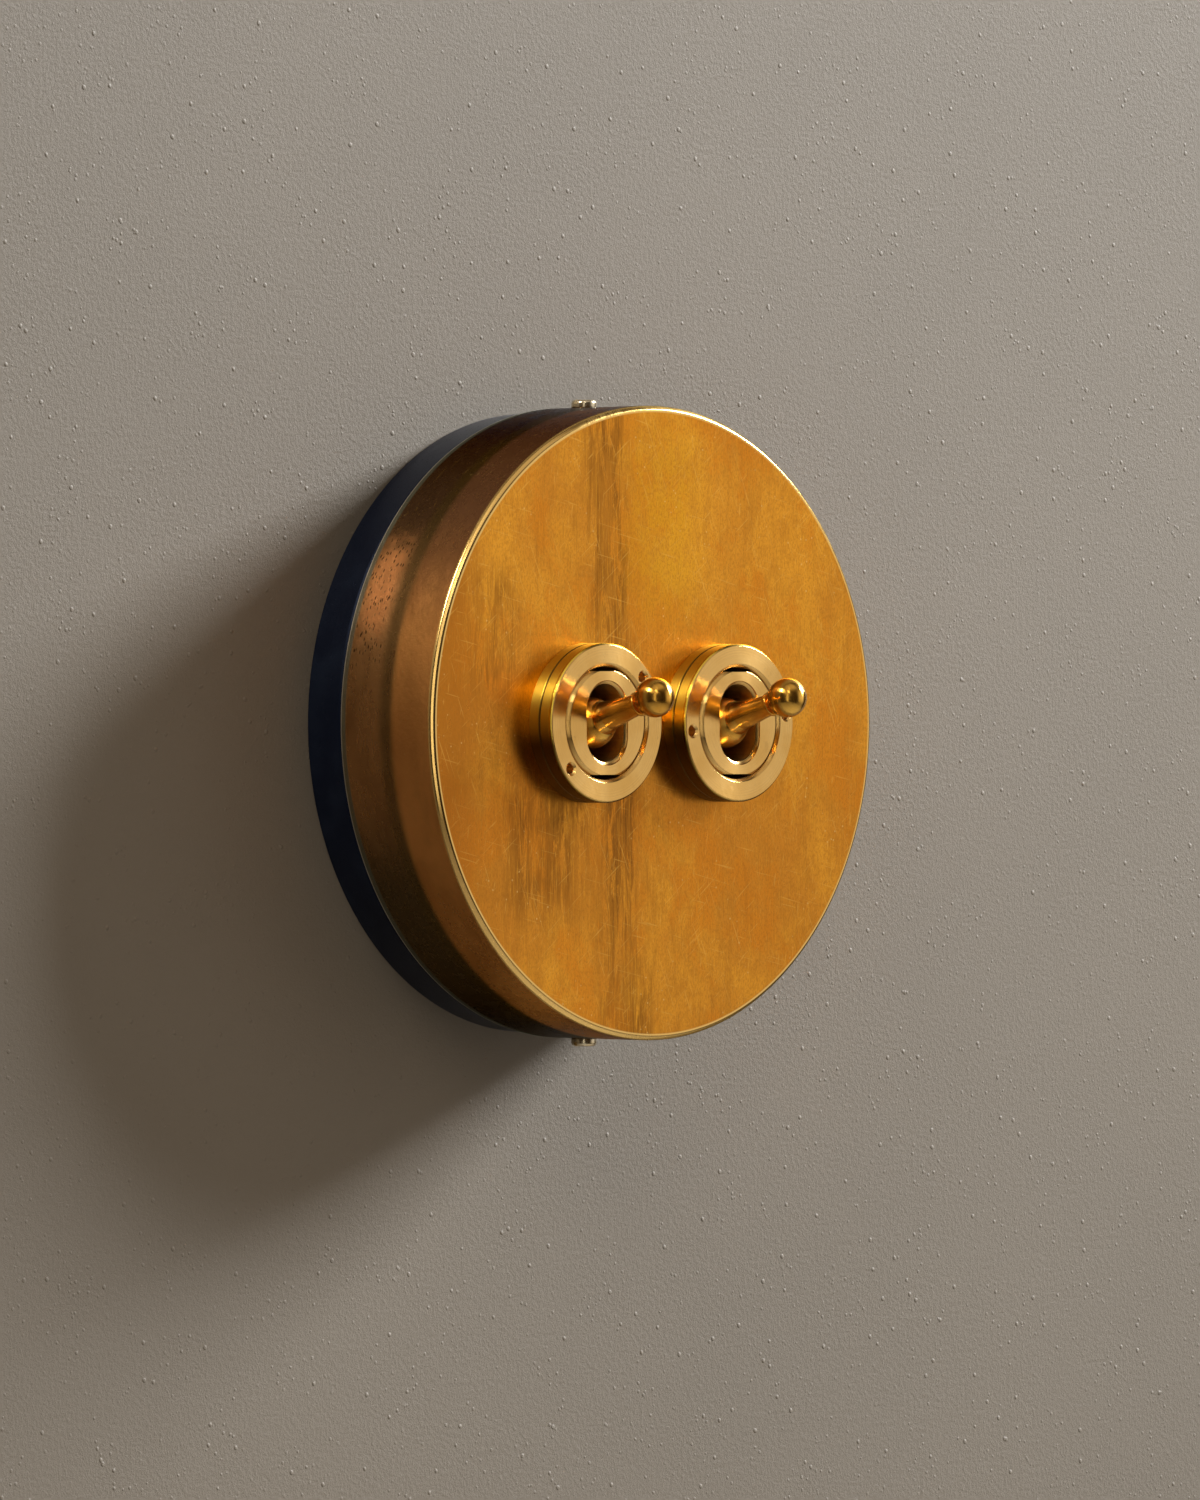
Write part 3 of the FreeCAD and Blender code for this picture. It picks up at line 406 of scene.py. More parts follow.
def face_tone(look, place):
    """The cover's face: browned brass in clouds, with feathery dark stains down its middle."""
    deep_gold, pale_gold = (0.640, 0.255, 0.0320), (0.790, 0.350, 0.0380)
    brown, warm_brown, dark_brown = (0.46, 0.182, 0.0240), (0.68, 0.238, 0.0230), (0.235, 0.092, 0.0170)
    streak_brown, grain_brown = (0.42, 0.172, 0.0240), (0.40, 0.158, 0.0240)
    edge_brown = (0.42, 0.148, 0.0200)
    thread_gold, glow_yellow = (0.84, 0.42, 0.044), (0.77, 0.392, 0.0240)

    x, _, z = look.split(place)
    clouds = look.noise(look.scaled(place, (0.034, 0.034, 0.026)), 1.0, 5.0, 0.62, 0.5)
    tone = look.blend(look.band(clouds, 0.38, 0.64), deep_gold, pale_gold)
    mottle = look.noise(look.scaled(place, (0.35, 0.35, 0.22)), 1.0, 7.0, 0.75, 0.3)
    tone = look.blend(look.band(mottle, 0.44, 0.62, 0.0, 0.42), tone, brown)
    warm = look.noise(look.scaled(place, (0.07, 0.07, 0.045), 20.0), 1.0, 5.0, 0.65)
    tone = look.blend(look.band(warm, 0.47, 0.60, 0.0, 0.70), tone, warm_brown)

    # The stains: a band that wanders down the middle, a patch left of it and a patch below that
    broad = look.noise(look.scaled(place, (0.13, 0.3, 0.040)), 1.0, 3.0, 0.55, 0.4)
    feather = look.noise(look.scaled(place, (0.45, 0.3, 0.055)), 1.0, 8.0, 0.80, 0.7)
    threads = look.noise(look.scaled(place, (3.2, 0.3, 0.13)), 1.0, 4.0, 0.7, 0.6)
    middle = look.total(look.product(broad, 12.0), look.product(z, -0.05), -18.0)
    centre_band = look.hill(look.maths("SUBTRACT", x, middle), 0.0, 9.0, 3.5)
    left_patch = look.patch(x, z, (-49.5, 14.0, 5.0), (18.0, 16.0, 7.0))
    low_patch = look.product(look.patch(x, z, (-31.0, 17.0, 6.0), (-25.0, 19.0, 6.0)), 0.85)
    stained = look.highest(centre_band, left_patch, low_patch)
    spread = look.total(look.product(look.band(broad, 0.40, 0.54), 0.45), 0.55)
    dark = look.product(look.band(feather, 0.42, 0.52), spread, stained)
    dark = look.product(dark, look.band(threads, 0.36, 0.66, 1.0, 0.5))
    faint = look.product(look.band(feather, 0.50, 0.62), look.band(broad, 0.45, 0.62), 0.22)
    dark = look.highest(dark, faint)
    streaks = look.noise(look.scaled(place, (1.5, 1.5, 0.09)), 1.0, 4.0, 0.7)
    tone = look.blend(look.band(streaks, 0.48, 0.72, 0.0, 0.30), tone, streak_brown)
    tone = look.blend(dark, tone, dark_brown)
    tone = look.blend(look.band(threads, 0.52, 0.70, 0.0, 0.26), tone, thread_gold)

    # A yellower place above the middle, a darker left edge and a fine grain over all of it
    glow = look.patch(x, z, (2.0, 15.0, 4.0), (40.0, 26.0, 9.0))
    glow = look.product(glow, look.band(mottle, 0.62, 0.40, 0.4, 1.0))
    tone = look.blend(look.product(glow, 0.55), tone, glow_yellow)
    tone = look.blend(look.band(x, -44.0, -58.0, 0.0, 0.7), tone, edge_brown)
    fine = look.noise(look.scaled(place, (2.6, 2.6, 1.3)), 1.0, 3.0, 0.7)
    tone = look.blend(look.band(fine, 0.46, 0.62, 0.0, 0.42), tone, grain_brown)
    return tone, clouds, mottle, dark


def side_tone(look, place):
    """The cover's side: copper towards the face and dark behind as a painted reflection, painted shade above
    and below, a pitted patch painted bright as a highlight, and a dull rear edge with a painted highlight on
    its lip.
    """
    pale_copper, copper, top_shade_brown = (1.0, 0.460, 0.135), (0.80, 0.350, 0.100), (0.31, 0.155, 0.086)
    pale_rear, rear_brown = (0.72, 0.380, 0.150), (0.54, 0.275, 0.105)
    rear_top_shade, rear_low_shade = (0.150, 0.084, 0.046), (0.150, 0.110, 0.055)
    shade_line_olive, highlight_copper, pit_brown = (0.20, 0.130, 0.044), (0.96, 0.42, 0.155), (0.075, 0.035, 0.013)
    rim_grey, edge_highlight_grey = (0.20, 0.205, 0.150), (0.80, 0.74, 0.62)
    front_start, front_end = -23.2, -24.6

    x, y, z = look.split(place)
    clouds = look.noise(look.scaled(place, (0.05, 0.09, 0.05)), 1.0, 4.0, 0.55, 0.3)
    front = look.blend(look.band(clouds, 0.40, 0.66), pale_copper, copper)
    # Painted shade: the front part darker towards its top
    front = look.blend(look.product(look.band(z, 12.0, 44.0), 0.9), front, top_shade_brown)
    rear = look.blend(look.band(clouds, 0.40, 0.66), pale_rear, rear_brown)
    # Painted shade: the rear part darker at its top and towards its bottom
    above = look.band(z, 24.0, 42.0)
    below = look.band(z, -12.0, -34.0)
    rear = look.blend(look.product(above, 0.95), rear, rear_top_shade)
    rear = look.blend(look.product(below, 0.90), rear, rear_low_shade)
    # Painted reflection: lighter in front of this line and darker behind it, with a dark olive line painted
    # along it as shade
    tone = look.blend(look.band(y, front_end, front_start), front, rear)
    tone = look.blend(look.product(look.hill(y, -22.6, 3.0, 0.3), 0.6), tone, shade_line_olive)

    # A painted highlight in bright copper with a ragged outline, and dark pits in and around it
    pits = look.band(look.spots(look.scaled(place, (0.9, 1.7, 0.7)), 1.0), 0.22, 0.36, 1.0, 0.0)
    pitted = look.band(look.noise(place, 0.12, 2.0), 0.34, 0.48)
    pits = look.product(pits, pitted, look.hill(y, -16.0, 6.0, 3.5))
    pits = look.product(pits, look.hill(z, 25.0, 18.0, 9.0))
    ragged = look.product(look.maths("SUBTRACT", look.noise(place, 0.30, 4.0, 0.7), 0.5), 0.9)
    worn = look.total(look.hill(z, 26.0, 16.0, 2.0), ragged)
    patch = look.product(look.band(worn, 0.15, 0.95), look.hill(y, -15.8, 6.0, 1.8))
    tone = look.blend(look.product(patch, 0.95), tone, highlight_copper)
    tone = look.blend(look.product(pits, 0.9), tone, pit_brown)

    # The dull rear edge with a painted highlight along its lip, and a satin sheen on the patch and on the
    # front part
    rim = look.band(y, -11.9, -11.3)
    tone = look.blend(look.product(rim, 0.9), tone, rim_grey)
    tone = look.blend(look.product(look.band(y, -10.60, -10.45), 0.8), tone, edge_highlight_grey)
    front_satin = look.product(look.band(y, front_start, front_end), look.hill(z, -2.0, 42.0, 16.0), 0.10)
    satin = look.highest(look.product(patch, 0.140), front_satin)
    return tone, pits, rim, satin


def aged_brass():
    """The cover: brass that has browned, polished only along its front edge."""
    edge_gold, speck_gold, scratch_gold = (0.98, 0.67, 0.235), (0.95, 0.66, 0.24), (0.95, 0.55, 0.12)
    lowest_roughness = 0.10
    side_start, side_end = FACE + 0.6, FACE + 1.1
    edge_inside, edge_outside = COVER_RADIUS - 1.4, COVER_RADIUS - 1.1
    edge_back, edge_front = FACE + 1.2, FACE + 1.0
    stroke_sets = (
        (24.0, (3.4, 3.4, 0.08)),
        (-52.0, (3.8, 3.8, 0.14)),
        (78.0, (3.2, 3.2, 0.10)),
        (-8.0, (3.6, 3.6, 0.30)),
    )

    look = Look("aged_brass", metallic=1.0)
    look.surface.inputs["Specular Tint"].default_value = (0.18, 0.22, 0.28, 1.0)
    place = look.place()
    _, y, _ = look.split(place)
    radius = look.far_from(0.0, place)
    face, clouds, mottle, dark = face_tone(look, place)
    side, pits, rim, satin = side_tone(look, place)
    on_side = look.band(y, side_start, side_end)
    tone = look.blend(on_side, face, side)
    edge = look.product(look.band(radius, edge_inside, edge_outside), look.band(y, edge_back, edge_front))
    tone = look.blend(look.product(edge, 0.9), tone, edge_gold)

    # Bright specks in groups, and long scratches in four directions
    grouped = look.band(look.noise(place, 0.07, 2.0), 0.48, 0.62)
    specks = look.product(look.band(look.spots(place, 0.55), 0.08, 0.13, 1.0, 0.0), grouped, 0.40)
    tone = look.blend(specks, tone, speck_gold)
    lines = []
    for turn, stretch in stroke_sets:
        strokes = look.noise(look.scaled(place, stretch, turn), 1.0, 1.0, 0.4, 0.3)
        lines.append(look.band(strokes, 0.70, 0.76))
    scratch = look.product(look.highest(*lines), 0.26)
    tone = look.blend(scratch, tone, scratch_gold)
    look.set("Base Color", tone)

    # Smoother on the edge and on the side, and a hammered relief on the side alone
    polish = look.noise(look.scaled(place, (0.5, 0.5, 0.10)), 1.0, 5.0, 0.65)
    rough = look.total(
        look.product(clouds, 0.14), look.product(mottle, 0.16), look.product(polish, 0.08),
        look.product(dark, 0.12), look.product(rim, 0.15), 0.12,
    )
    smoother = look.product(look.highest(edge, look.product(on_side, 0.35)), 0.12)
    rough = look.maths("MAXIMUM", look.maths("SUBTRACT", rough, smoother), lowest_roughness)
    look.set("Roughness", look.total(rough, look.product(satin, on_side)))
    grain = look.noise(look.scaled(place, (2.6, 2.6, 0.5)), 1.0, 4.0, 0.6)
    hammered = look.product(look.noise(look.scaled(place, (0.35, 0.9, 1.1)), 1.0, 3.0), on_side, 2.5)
    relief = look.maths("SUBTRACT", look.total(look.product(grain, 0.4), hammered), look.product(pits, 1.5))
    off_edge = look.maths("SUBTRACT", 1.0, edge)
    look.set("Normal", look.bump(look.product(relief, off_edge), 0.12, 0.0002))
    return look.material


def turned_brass(name, pale, deep, centre=None):
    """Polished brass with fine turning lines, about a line along Y at x = centre or on the lever."""
    ring_yellow, lower_shade_brown, groove_shade_brown = (1.0, 0.70, 0.06), (0.12, 0.058, 0.015), (0.10, 0.040, 0.010)
    slot_mouth, slot_depth = BUSH_FRONT + 0.2, BUSH_FRONT + 1.2

    look = Look(name, metallic=1.0)
    look.surface.inputs["Anisotropic"].default_value = 0.8
    look.surface.inputs["Anisotropic Rotation"].default_value = 0.25
    around = look.tree.nodes.new("ShaderNodeTangent")
    around.direction_type = "RADIAL"
    around.axis = "Y"
    look.set("Tangent", around.outputs["Tangent"])
    place = look.place()
    _, y, z = look.split(place)
    on_lever = centre is None
    along = along_lever(look, place) if on_lever else look.far_from(centre, place)
    lines = look.noise(look.joined(look.product(along, 4.0), 0.0, 0.0), 1.0, 4.0, 0.75)
    clouds = look.noise(place, 0.16, 3.0, 0.5)
    tone = look.blend(look.band(clouds, 0.35, 0.7), pale, deep)
    tone = look.blend(look.band(lines, 0.42, 0.72, 0.0, 0.42), tone, [part * 0.7 for part in deep])
    marks = look.noise(look.scaled(place, (2.0, 2.0, 0.4), 25.0), 1.0, 3.0, 0.6)
    stain = look.band(look.noise(place, 0.5, 5.0, 0.7), 0.60, 0.72, 0.0, 0.35)
    tone = look.blend(stain, tone, [part * 0.6 for part in deep])
    if not on_lever:
        outer = look.band(along, RING_RADIUS - 0.30, RING_RADIUS - 0.10)
        tone = look.blend(look.product(outer, 0.85), tone, ring_yellow)
        # Painted shade: the ring's outer side darker on its lower half
        lower_shade = look.product(outer, look.band(z, 3.0, -5.0), 0.95)
        tone = look.blend(lower_shade, tone, lower_shade_brown)
        # Painted shade in the groove where the two rings meet
        shaded_groove = look.product(
            look.hill(y, GROOVE, 0.34, 0.14), look.band(along, RING_RADIUS - 0.55, RING_RADIUS - 0.45)
        )
        tone = look.blend(look.product(shaded_groove, 0.92), tone, groove_shade_brown)
    look.set("Base Color", tone)
    rough = look.total(look.product(lines, 0.09), look.product(marks, 0.10), look.product(stain, 0.2), 0.10)
    look.set("Roughness", look.total(rough, look.band(y, slot_mouth, slot_depth, 0.0, 0.14)))
    look.set("Normal", look.bump(lines, 0.06, 0.00006))
    return look.material


def along_lever(look, place):
    """Counts along the lever, from its pivot to its ball."""
    _, y, z = look.split(place)
    outward = look.product(look.maths("SUBTRACT", y, PIVOT), -math.cos(math.radians(TILT)))
    return look.total(outward, look.product(z, math.sin(math.radians(TILT))))


def plain_metal(name, tone, dull, roughness):
    """A worn or plated metal for the small and hidden pieces."""
    look = Look(name, metallic=1.0)
    place = look.place()
    clouds = look.noise(place, 0.35, 4.0, 0.55)
    look.set("Base Color", look.blend(look.band(clouds, 0.35, 0.7), tone, dull))
    grain = look.noise(look.scaled(place, (6.0, 1.0, 6.0)), 1.0, 3.0, 0.6)
    look.set("Roughness", look.total(look.product(grain, 0.18), roughness))
    look.set("Normal", look.bump(grain, 0.08, 0.00005))
    return look.material


def moulded(name, tone, pale, roughness):
    """A moulded plastic with a fine grain and paler clouds."""
    look = Look(name)
    look.surface.inputs["IOR"].default_value = 1.4
    place = look.place()
    clouds = look.noise(place, 0.12, 4.0, 0.5)
    look.set("Base Color", look.blend(look.band(clouds, 0.4, 0.75), tone, pale))
    grain = look.noise(place, 2.5, 4.0, 0.6)
    look.set("Roughness", look.total(look.product(grain, 0.16), roughness))
    look.set("Normal", look.bump(grain, 0.10, 0.00008))
    return look.material


AGED = aged_brass()
TURNED = {
    side: turned_brass(side + "_turned_brass", (0.86, 0.55, 0.19), (0.78, 0.47, 0.14), x)
    for side, x in SIDES.items()
}
LEVER = turned_brass("lever_brass", (0.90, 0.52, 0.10), (0.74, 0.36, 0.05))
SCREW = plain_metal("screw_brass", (0.82, 0.74, 0.56), (0.66, 0.53, 0.32), 0.16)
INSERT = plain_metal("insert_brass", (0.72, 0.50, 0.20), (0.56, 0.37, 0.14), 0.28)
STEEL = plain_metal("zinc_steel", (0.62, 0.62, 0.64), (0.45, 0.45, 0.46), 0.25)
SILVER = plain_metal("contact_silver", (0.85, 0.85, 0.84), (0.62, 0.61, 0.58), 0.30)
BLACK = moulded("black_moulding", (0.003, 0.0045, 0.011), (0.006, 0.009, 0.018), 0.22)
BLACK.node_tree.nodes["Principled BSDF"].inputs["Specular Tint"].default_value = (0.40, 0.55, 1.0, 1.0)
HOUSING = moulded("housing_moulding", (0.022, 0.022, 0.023), (0.036, 0.035, 0.034), 0.42)
NYLON = moulded("white_nylon", (0.72, 0.70, 0.64), (0.64, 0.61, 0.54), 0.40)


# Cover

def draw_cover(shape):
    screw_band, worn, face_edge, inner_corner = 2.2, 0.74, 1.6, 1.0
    inside = COVER_RADIUS - COVER_WALL
    lathe(shape, rounded([
        (COVER_RADIUS, COVER_REAR, 0.15),
        (COVER_RADIUS, SCREW_LEVEL + screw_band, 0),
        (COVER_RADIUS, SCREW_LEVEL - screw_band, 0),
        (COVER_RADIUS, FACE + worn, 0.78),
        (COVER_RADIUS - worn, FACE, 0.78),
        (COVER_RADIUS - face_edge, FACE, 0),
        (0, FACE, 0),
        (0, FACE + COVER_WALL, 0),
        (inside - inner_corner, FACE + COVER_WALL, 0),
        (inside, FACE + COVER_WALL, 0.8),
        (inside, COVER_REAR, 0.15),
    ]), segments=288)


def cut_cover(shape):
    """The holes for the two bushes, round with two flats, and those for the screws."""
    clearance, steps = 0.2, 24
    hole = BUSH_RADIUS + clearance
    turn = math.asin((FLAT_LEVEL + clearance) / hole)
    for x in SIDES.values():
        outline = []
        for start in (-turn, math.pi - turn):
            for step in range(steps + 1):
                angle = start + 2 * turn * step / steps
                outline.append((x + hole * math.cos(angle), hole * math.sin(angle)))
        prism(shape, outline, (FACE - 1, FACE + 3))
    for sign in (-1, 1):
        round_bar(shape, (0, SCREW_LEVEL, sign * 58), (0, SCREW_LEVEL, sign * 65), COVER_SCREW_HOLE)


finish_piece(build("cover_shell", draw_cover, ("DIFFERENCE", cut_cover)), AGED, "aged_brass", "case", "cover")


# Base

def draw_base(shape):
    bevel_in, bevel_back = 0.45, 1.6
    spigot_inside = SPIGOT_RADIUS - SPIGOT_WALL
    lathe(shape, rounded([
        (CABLE_HOLE_RADIUS, 0, 0.5),
        (BASE_RADIUS, 0, 0.35),
        (BASE_RADIUS, COVER_REAR + bevel_back, 0.8),
        (BASE_RADIUS - bevel_in, COVER_REAR, 0.1),
        (SPIGOT_RADIUS, COVER_REAR, 0),
        (SPIGOT_RADIUS, SPIGOT_FRONT, 0.3),
        (spigot_inside, SPIGOT_FRONT, 0.3),
        (spigot_inside, -BASE_FLOOR, 0.8),
        (CABLE_HOLE_RADIUS, -BASE_FLOOR, 0.5),
    ]), segments=224)


def draw_lugs(shape):
    """The two lugs that hold the screws' inserts, rounded to the spigot and sunk into the floor."""
    steps, sunk = 8, 0.5
    half = LUG_WIDTH / 2
    for sign in (-1, 1):
        outline = [(-half, sign * LUG_INNER)]
        for step in range(steps + 1):
            x = -half + LUG_WIDTH * step / steps
            outline.append((x, sign * math.sqrt(SPIGOT_RADIUS ** 2 - x * x)))
        outline.append((half, sign * LUG_INNER))
        prism(shape, outline, (LUG_FRONT, -BASE_FLOOR + sunk))


def cut_base(shape):
    for sign in (-1, 1):
        x = WALL_SCREW_SPACING / 2 * sign
        round_bar(shape, (x, 1, 0), (x, -BASE_FLOOR - 1, 0), WALL_SCREW_RADIUS)
        round_bar(shape, (0, SCREW_LEVEL, sign * 50), (0, SCREW_LEVEL, sign * 62), INSERT_HOLE)


base = build("base_moulding", draw_base, ("UNION", draw_lugs), ("DIFFERENCE", cut_base))
finish_piece(base, BLACK, "black_moulding", "case", "base")


# Cover screws, one above and one below

def draw_cover_screws(shape):
    tip, seat, top, head, shank = 55.5, 62.5, 64.1, 2.5, 1.5
    outline = rounded([
        (0, tip, 0),
        (shank, tip, 0.3),
        (shank, seat, 0),
        (head, seat, 0.1),
        (head, top, 0.75),
        (0, top, 0),
    ])
    for sign in (-1, 1):
        upright = bmesh.new()
        lathe(upright, outline, segments=64)
        turn = Matrix.Rotation(math.radians(90 * sign), 4, "X")
        upright.transform(Matrix.Translation((0, SCREW_LEVEL * MM, 0)) @ turn)
        mesh = bpy.data.meshes.new("screw_part")
        upright.to_mesh(mesh)
        upright.free()
        shape.from_mesh(mesh)
        bpy.data.meshes.remove(mesh)


def cut_cover_screws(shape):
    """One slot across each head, cut from above the head down to the slot's floor."""
    slot_floor, outside, half_width, half_length = 63.3, 65.0, 0.4, 4
    front, back = SCREW_LEVEL - half_width, SCREW_LEVEL + half_width
    for sign in (-1, 1):
        low, high = sorted((slot_floor * sign, outside * sign))
        block(shape, (-half_length, front, low), (half_length, back, high))


screws = build("cover_screw_pair", draw_cover_screws, ("DIFFERENCE", cut_cover_screws))
finish_piece(screws, SCREW, "screw_brass", "case", "cover_screws")


# Rings, bushes and dollies

def draw_rear_ring(shape, x):
    lathe(shape, rounded([
        (RING_BORE, FACE, 0.1),
        (RING_RADIUS, FACE, 0.12),
        (RING_RADIUS, GROOVE, GROOVE_ROUND),
        (RING_BORE, GROOVE, 0.1),
    ]), segments=192, centre=(x, 0))


def draw_front_ring(shape, x):
    edge, mouth = 0.35, 0.6
    lathe(shape, rounded([
        (RING_BORE, GROOVE, 0.1),
        (RING_RADIUS, GROOVE, GROOVE_ROUND),
        (RING_RADIUS, BUSH_FRONT + edge, 0.12),
        (RING_RADIUS - edge, BUSH_FRONT, 0.12),
        (RING_BORE + mouth, BUSH_FRONT, 0.10),
        (RING_BORE, BUSH_FRONT + mouth, 0.15),
    ], steps=3), segments=192, centre=(x, 0))


def spanner_places(x, angle):
    """The two spanner holes' places on a ring's face, across from each other."""
    for turn in (math.radians(angle), math.radians(angle + 180)):
        yield x + SPANNER_REACH * math.cos(turn), SPANNER_REACH * math.sin(turn)


def cut_spanner_holes(shape, x, angle):
    depth = 2.2
    for px, pz in spanner_places(x, angle):
        round_bar(shape, (px, BUSH_FRONT - 1, pz), (px, BUSH_FRONT + depth, pz), SPANNER_HOLE)


def cut_spanner_mouths(shape, x, angle):
    depth, mouth = 0.4, 1.5
    for px, pz in spanner_places(x, angle):
        round_bar(shape, (px, BUSH_FRONT - 0.1, pz), (px, BUSH_FRONT + depth, pz), mouth, SPANNER_HOLE)


def draw_bush(shape, x):
    """The round part of the bush, which ends inside the flange."""
    bevel, end = 0.7, FLANGE_FRONT + 1
    lathe(shape, rounded([
        (0, BUSH_FRONT, 0),
        (BUSH_RADIUS - bevel, BUSH_FRONT, 0.12),
        (BUSH_RADIUS, BUSH_FRONT + bevel, 0.12),
        (BUSH_RADIUS, end, 0),
        (0, end, 0),
    ], steps=3), segments=160, centre=(x, 0))


def cut_flats(shape, x):
    outside, half_width = 14, 12
    for sign in (-1, 1):
        low, high = sorted((FLAT_LEVEL * sign, outside * sign))
        block(shape, (x - half_width, BUSH_FRONT - 1, low), (x + half_width, FLANGE_BACK + 1, high))


def draw_flange(shape, x):
    corner, half_width, half_height = 2.5, 13.0, 18.0
    outline = rounded([
        (x + right * half_width, up * half_height, corner)
        for right, up in ((-1, -1), (1, -1), (1, 1), (-1, 1))
    ])
    prism(shape, outline, (FLANGE_FRONT, FLANGE_BACK))


def cut_slot(shape, x):
    """The slot for the lever, with a soft bevel at its mouth."""
    bevel, steps = 0.65, 4
    levels = [(BUSH_FRONT - 1, bevel), (BUSH_FRONT, bevel)]
    for step in range(1, steps + 1):
        turn = math.radians(90 * step / steps)
        levels.append((BUSH_FRONT + bevel * math.sin(turn), bevel * (1 - math.sin(turn) ** 2) ** 0.9))
    levels.append((FLANGE_BACK + 1, 0))
    stack(shape, [
        slot_outline(x, level, SLOT_WIDTH + spread * 2, SLOT_HEIGHT + spread * 2) for level, spread in levels
    ])


def cut_bush_holes(shape, x):
    pin_hole = 1.01
    round_bar(shape, (x - 12, PIVOT, 0), (x + 12, PIVOT, 0), pin_hole)
    for level in (-HOUSING_SCREW_LEVEL, HOUSING_SCREW_LEVEL):
        round_bar(shape, (x, FLANGE_FRONT - 1, level), (x, FLANGE_BACK + 1, level), HOUSING_SCREW_HOLE)


def cut_bush_sinks(shape, x):
    for level in (-HOUSING_SCREW_LEVEL, HOUSING_SCREW_LEVEL):
        front, back = (x, FLANGE_FRONT - 0.05, level), (x, FLANGE_FRONT + 1.05, level)
        round_bar(shape, front, back, HOUSING_SCREW_SINK, HOUSING_SCREW_HOLE)


def arc_points(radius, distance, start, end, steps):
    """Points (radius, distance) on a ball about the lever's axis, between two angles from its tip."""
    turns = [math.radians(start + (end - start) * step / steps) for step in range(steps + 1)]
    return [(radius * math.sin(turn), distance + radius * math.cos(turn), 0) for turn in turns]


def draw_dolly(shape, x):
    """The lever, drawn along its own axis from the ball's tip to the open end of its tail."""
    ball_end = 180 - math.degrees(math.asin(NECK / BALL))
    root = math.degrees(math.asin(SHANK_ROOT / BARREL))
    shoulder = 180 - math.degrees(math.asin(TAIL / BARREL))
    neck_level = BALL_DISTANCE - math.sqrt(BALL * BALL - NECK * NECK)
    front, back = neck_level - 0.25, neck_level - 1.15
    root_level = BARREL * math.cos(math.radians(root)) + 1.7
    corners = arc_points(BALL, BALL_DISTANCE, 0, ball_end, 40)
    corners += [
        (NECK, front, 0.06),
        (COLLAR, front - 0.12, 0.22),
        (COLLAR, back + 0.05, 0.22),
        (SHANK_TIP, back, 0.12),
        (SHANK_TIP + 0.10, back - 2.2, 0),
        (SHANK_TIP + 0.42, back - 5.2, 0),
        (SHANK_ROOT - 0.32, root_level, 1.2),
    ]
    corners += arc_points(BARREL, 0, root + 3, shoulder, 36)
    corners += [
        (TAIL, TAIL_END, 0.2),
        (TAIL_BORE, TAIL_END, 0.1),
        (TAIL_BORE, TAIL_BORE_FLOOR, 0),
        (0, TAIL_BORE_FLOOR, 0),
    ]
    lathe(shape, [(radius, -level) for radius, level in rounded(corners)], segments=128)
    turn = Matrix.Rotation(math.radians(-TILT), 4, "X")
    shape.transform(Matrix.Translation((x * MM, PIVOT * MM, 0)) @ turn)


def cut_pin_hole(shape, x):
    pin_hole = 1.05
    round_bar(shape, (x - 6, PIVOT, 0), (x + 6, PIVOT, 0), pin_hole)


for side, x in SIDES.items():
    turned = TURNED[side]
    rear = build(side + "_clamp_ring", lambda shape: draw_rear_ring(shape, x))
    finish_piece(rear, turned, "polished_brass", "case", side + "_rear_ring")
    front = build(
        side + "_face_ring",
        lambda shape: draw_front_ring(shape, x),
        ("DIFFERENCE", lambda shape: cut_spanner_holes(shape, x, SPANNER_ANGLES[side])),
        ("DIFFERENCE", lambda shape: cut_spanner_mouths(shape, x, SPANNER_ANGLES[side])),
    )
    finish_piece(front, turned, "polished_brass", "case", side + "_front_ring", sharp=24.0)
    bush = build(
        side + "_slotted_bush",
        lambda shape: draw_bush(shape, x),
        ("DIFFERENCE", lambda shape: cut_flats(shape, x)),
        ("UNION", lambda shape: draw_flange(shape, x)),
        ("DIFFERENCE", lambda shape: cut_slot(shape, x)),
        ("DIFFERENCE", lambda shape: cut_bush_holes(shape, x)),
        ("DIFFERENCE", lambda shape: cut_bush_sinks(shape, x)),
    )
    finish_piece(bush, turned, "polished_brass", "case", side + "_bush", sharp=24.0)
    lever = build(
        side + "_lever",
        lambda shape: draw_dolly(shape, x),
        ("DIFFERENCE", lambda shape: cut_pin_hole(shape, x)),
    )
    finish_piece(lever, LEVER, "polished_brass", side + "_dolly", side + "_dolly")


# Materials of the nodes that stay as they are

NODE_LOOKS = {
    "base_inserts": INSERT, "earth_terminal": INSERT, "earth_screw": SCREW, "pivot_pin": STEEL,
    "plunger": NYLON, "plunger_spring": STEEL, "rocker": NYLON, "contact_blade": INSERT,
    "moving_contacts": SILVER, "common_terminal": INSERT, "upper_terminal": INSERT,
    "lower_terminal": INSERT, "fixed_contacts": SILVER, "terminal_screws": STEEL,
    "housing": HOUSING, "housing_screws": STEEL,
}
for name, node in nodes.items():
    plain = name.split("_", 1)[1] if name.startswith(("left_", "right_")) else name
    material = NODE_LOOKS.get(plain)
    if material is not None:
        node.data.materials.clear()
        node.data.materials.append(material)


# Stage: a wall behind the switch, open behind the base so that the back is lit, and a floor

def stage_object(name, draw, material):
    thing = build(name, draw)
    thing.data.materials.append(material)


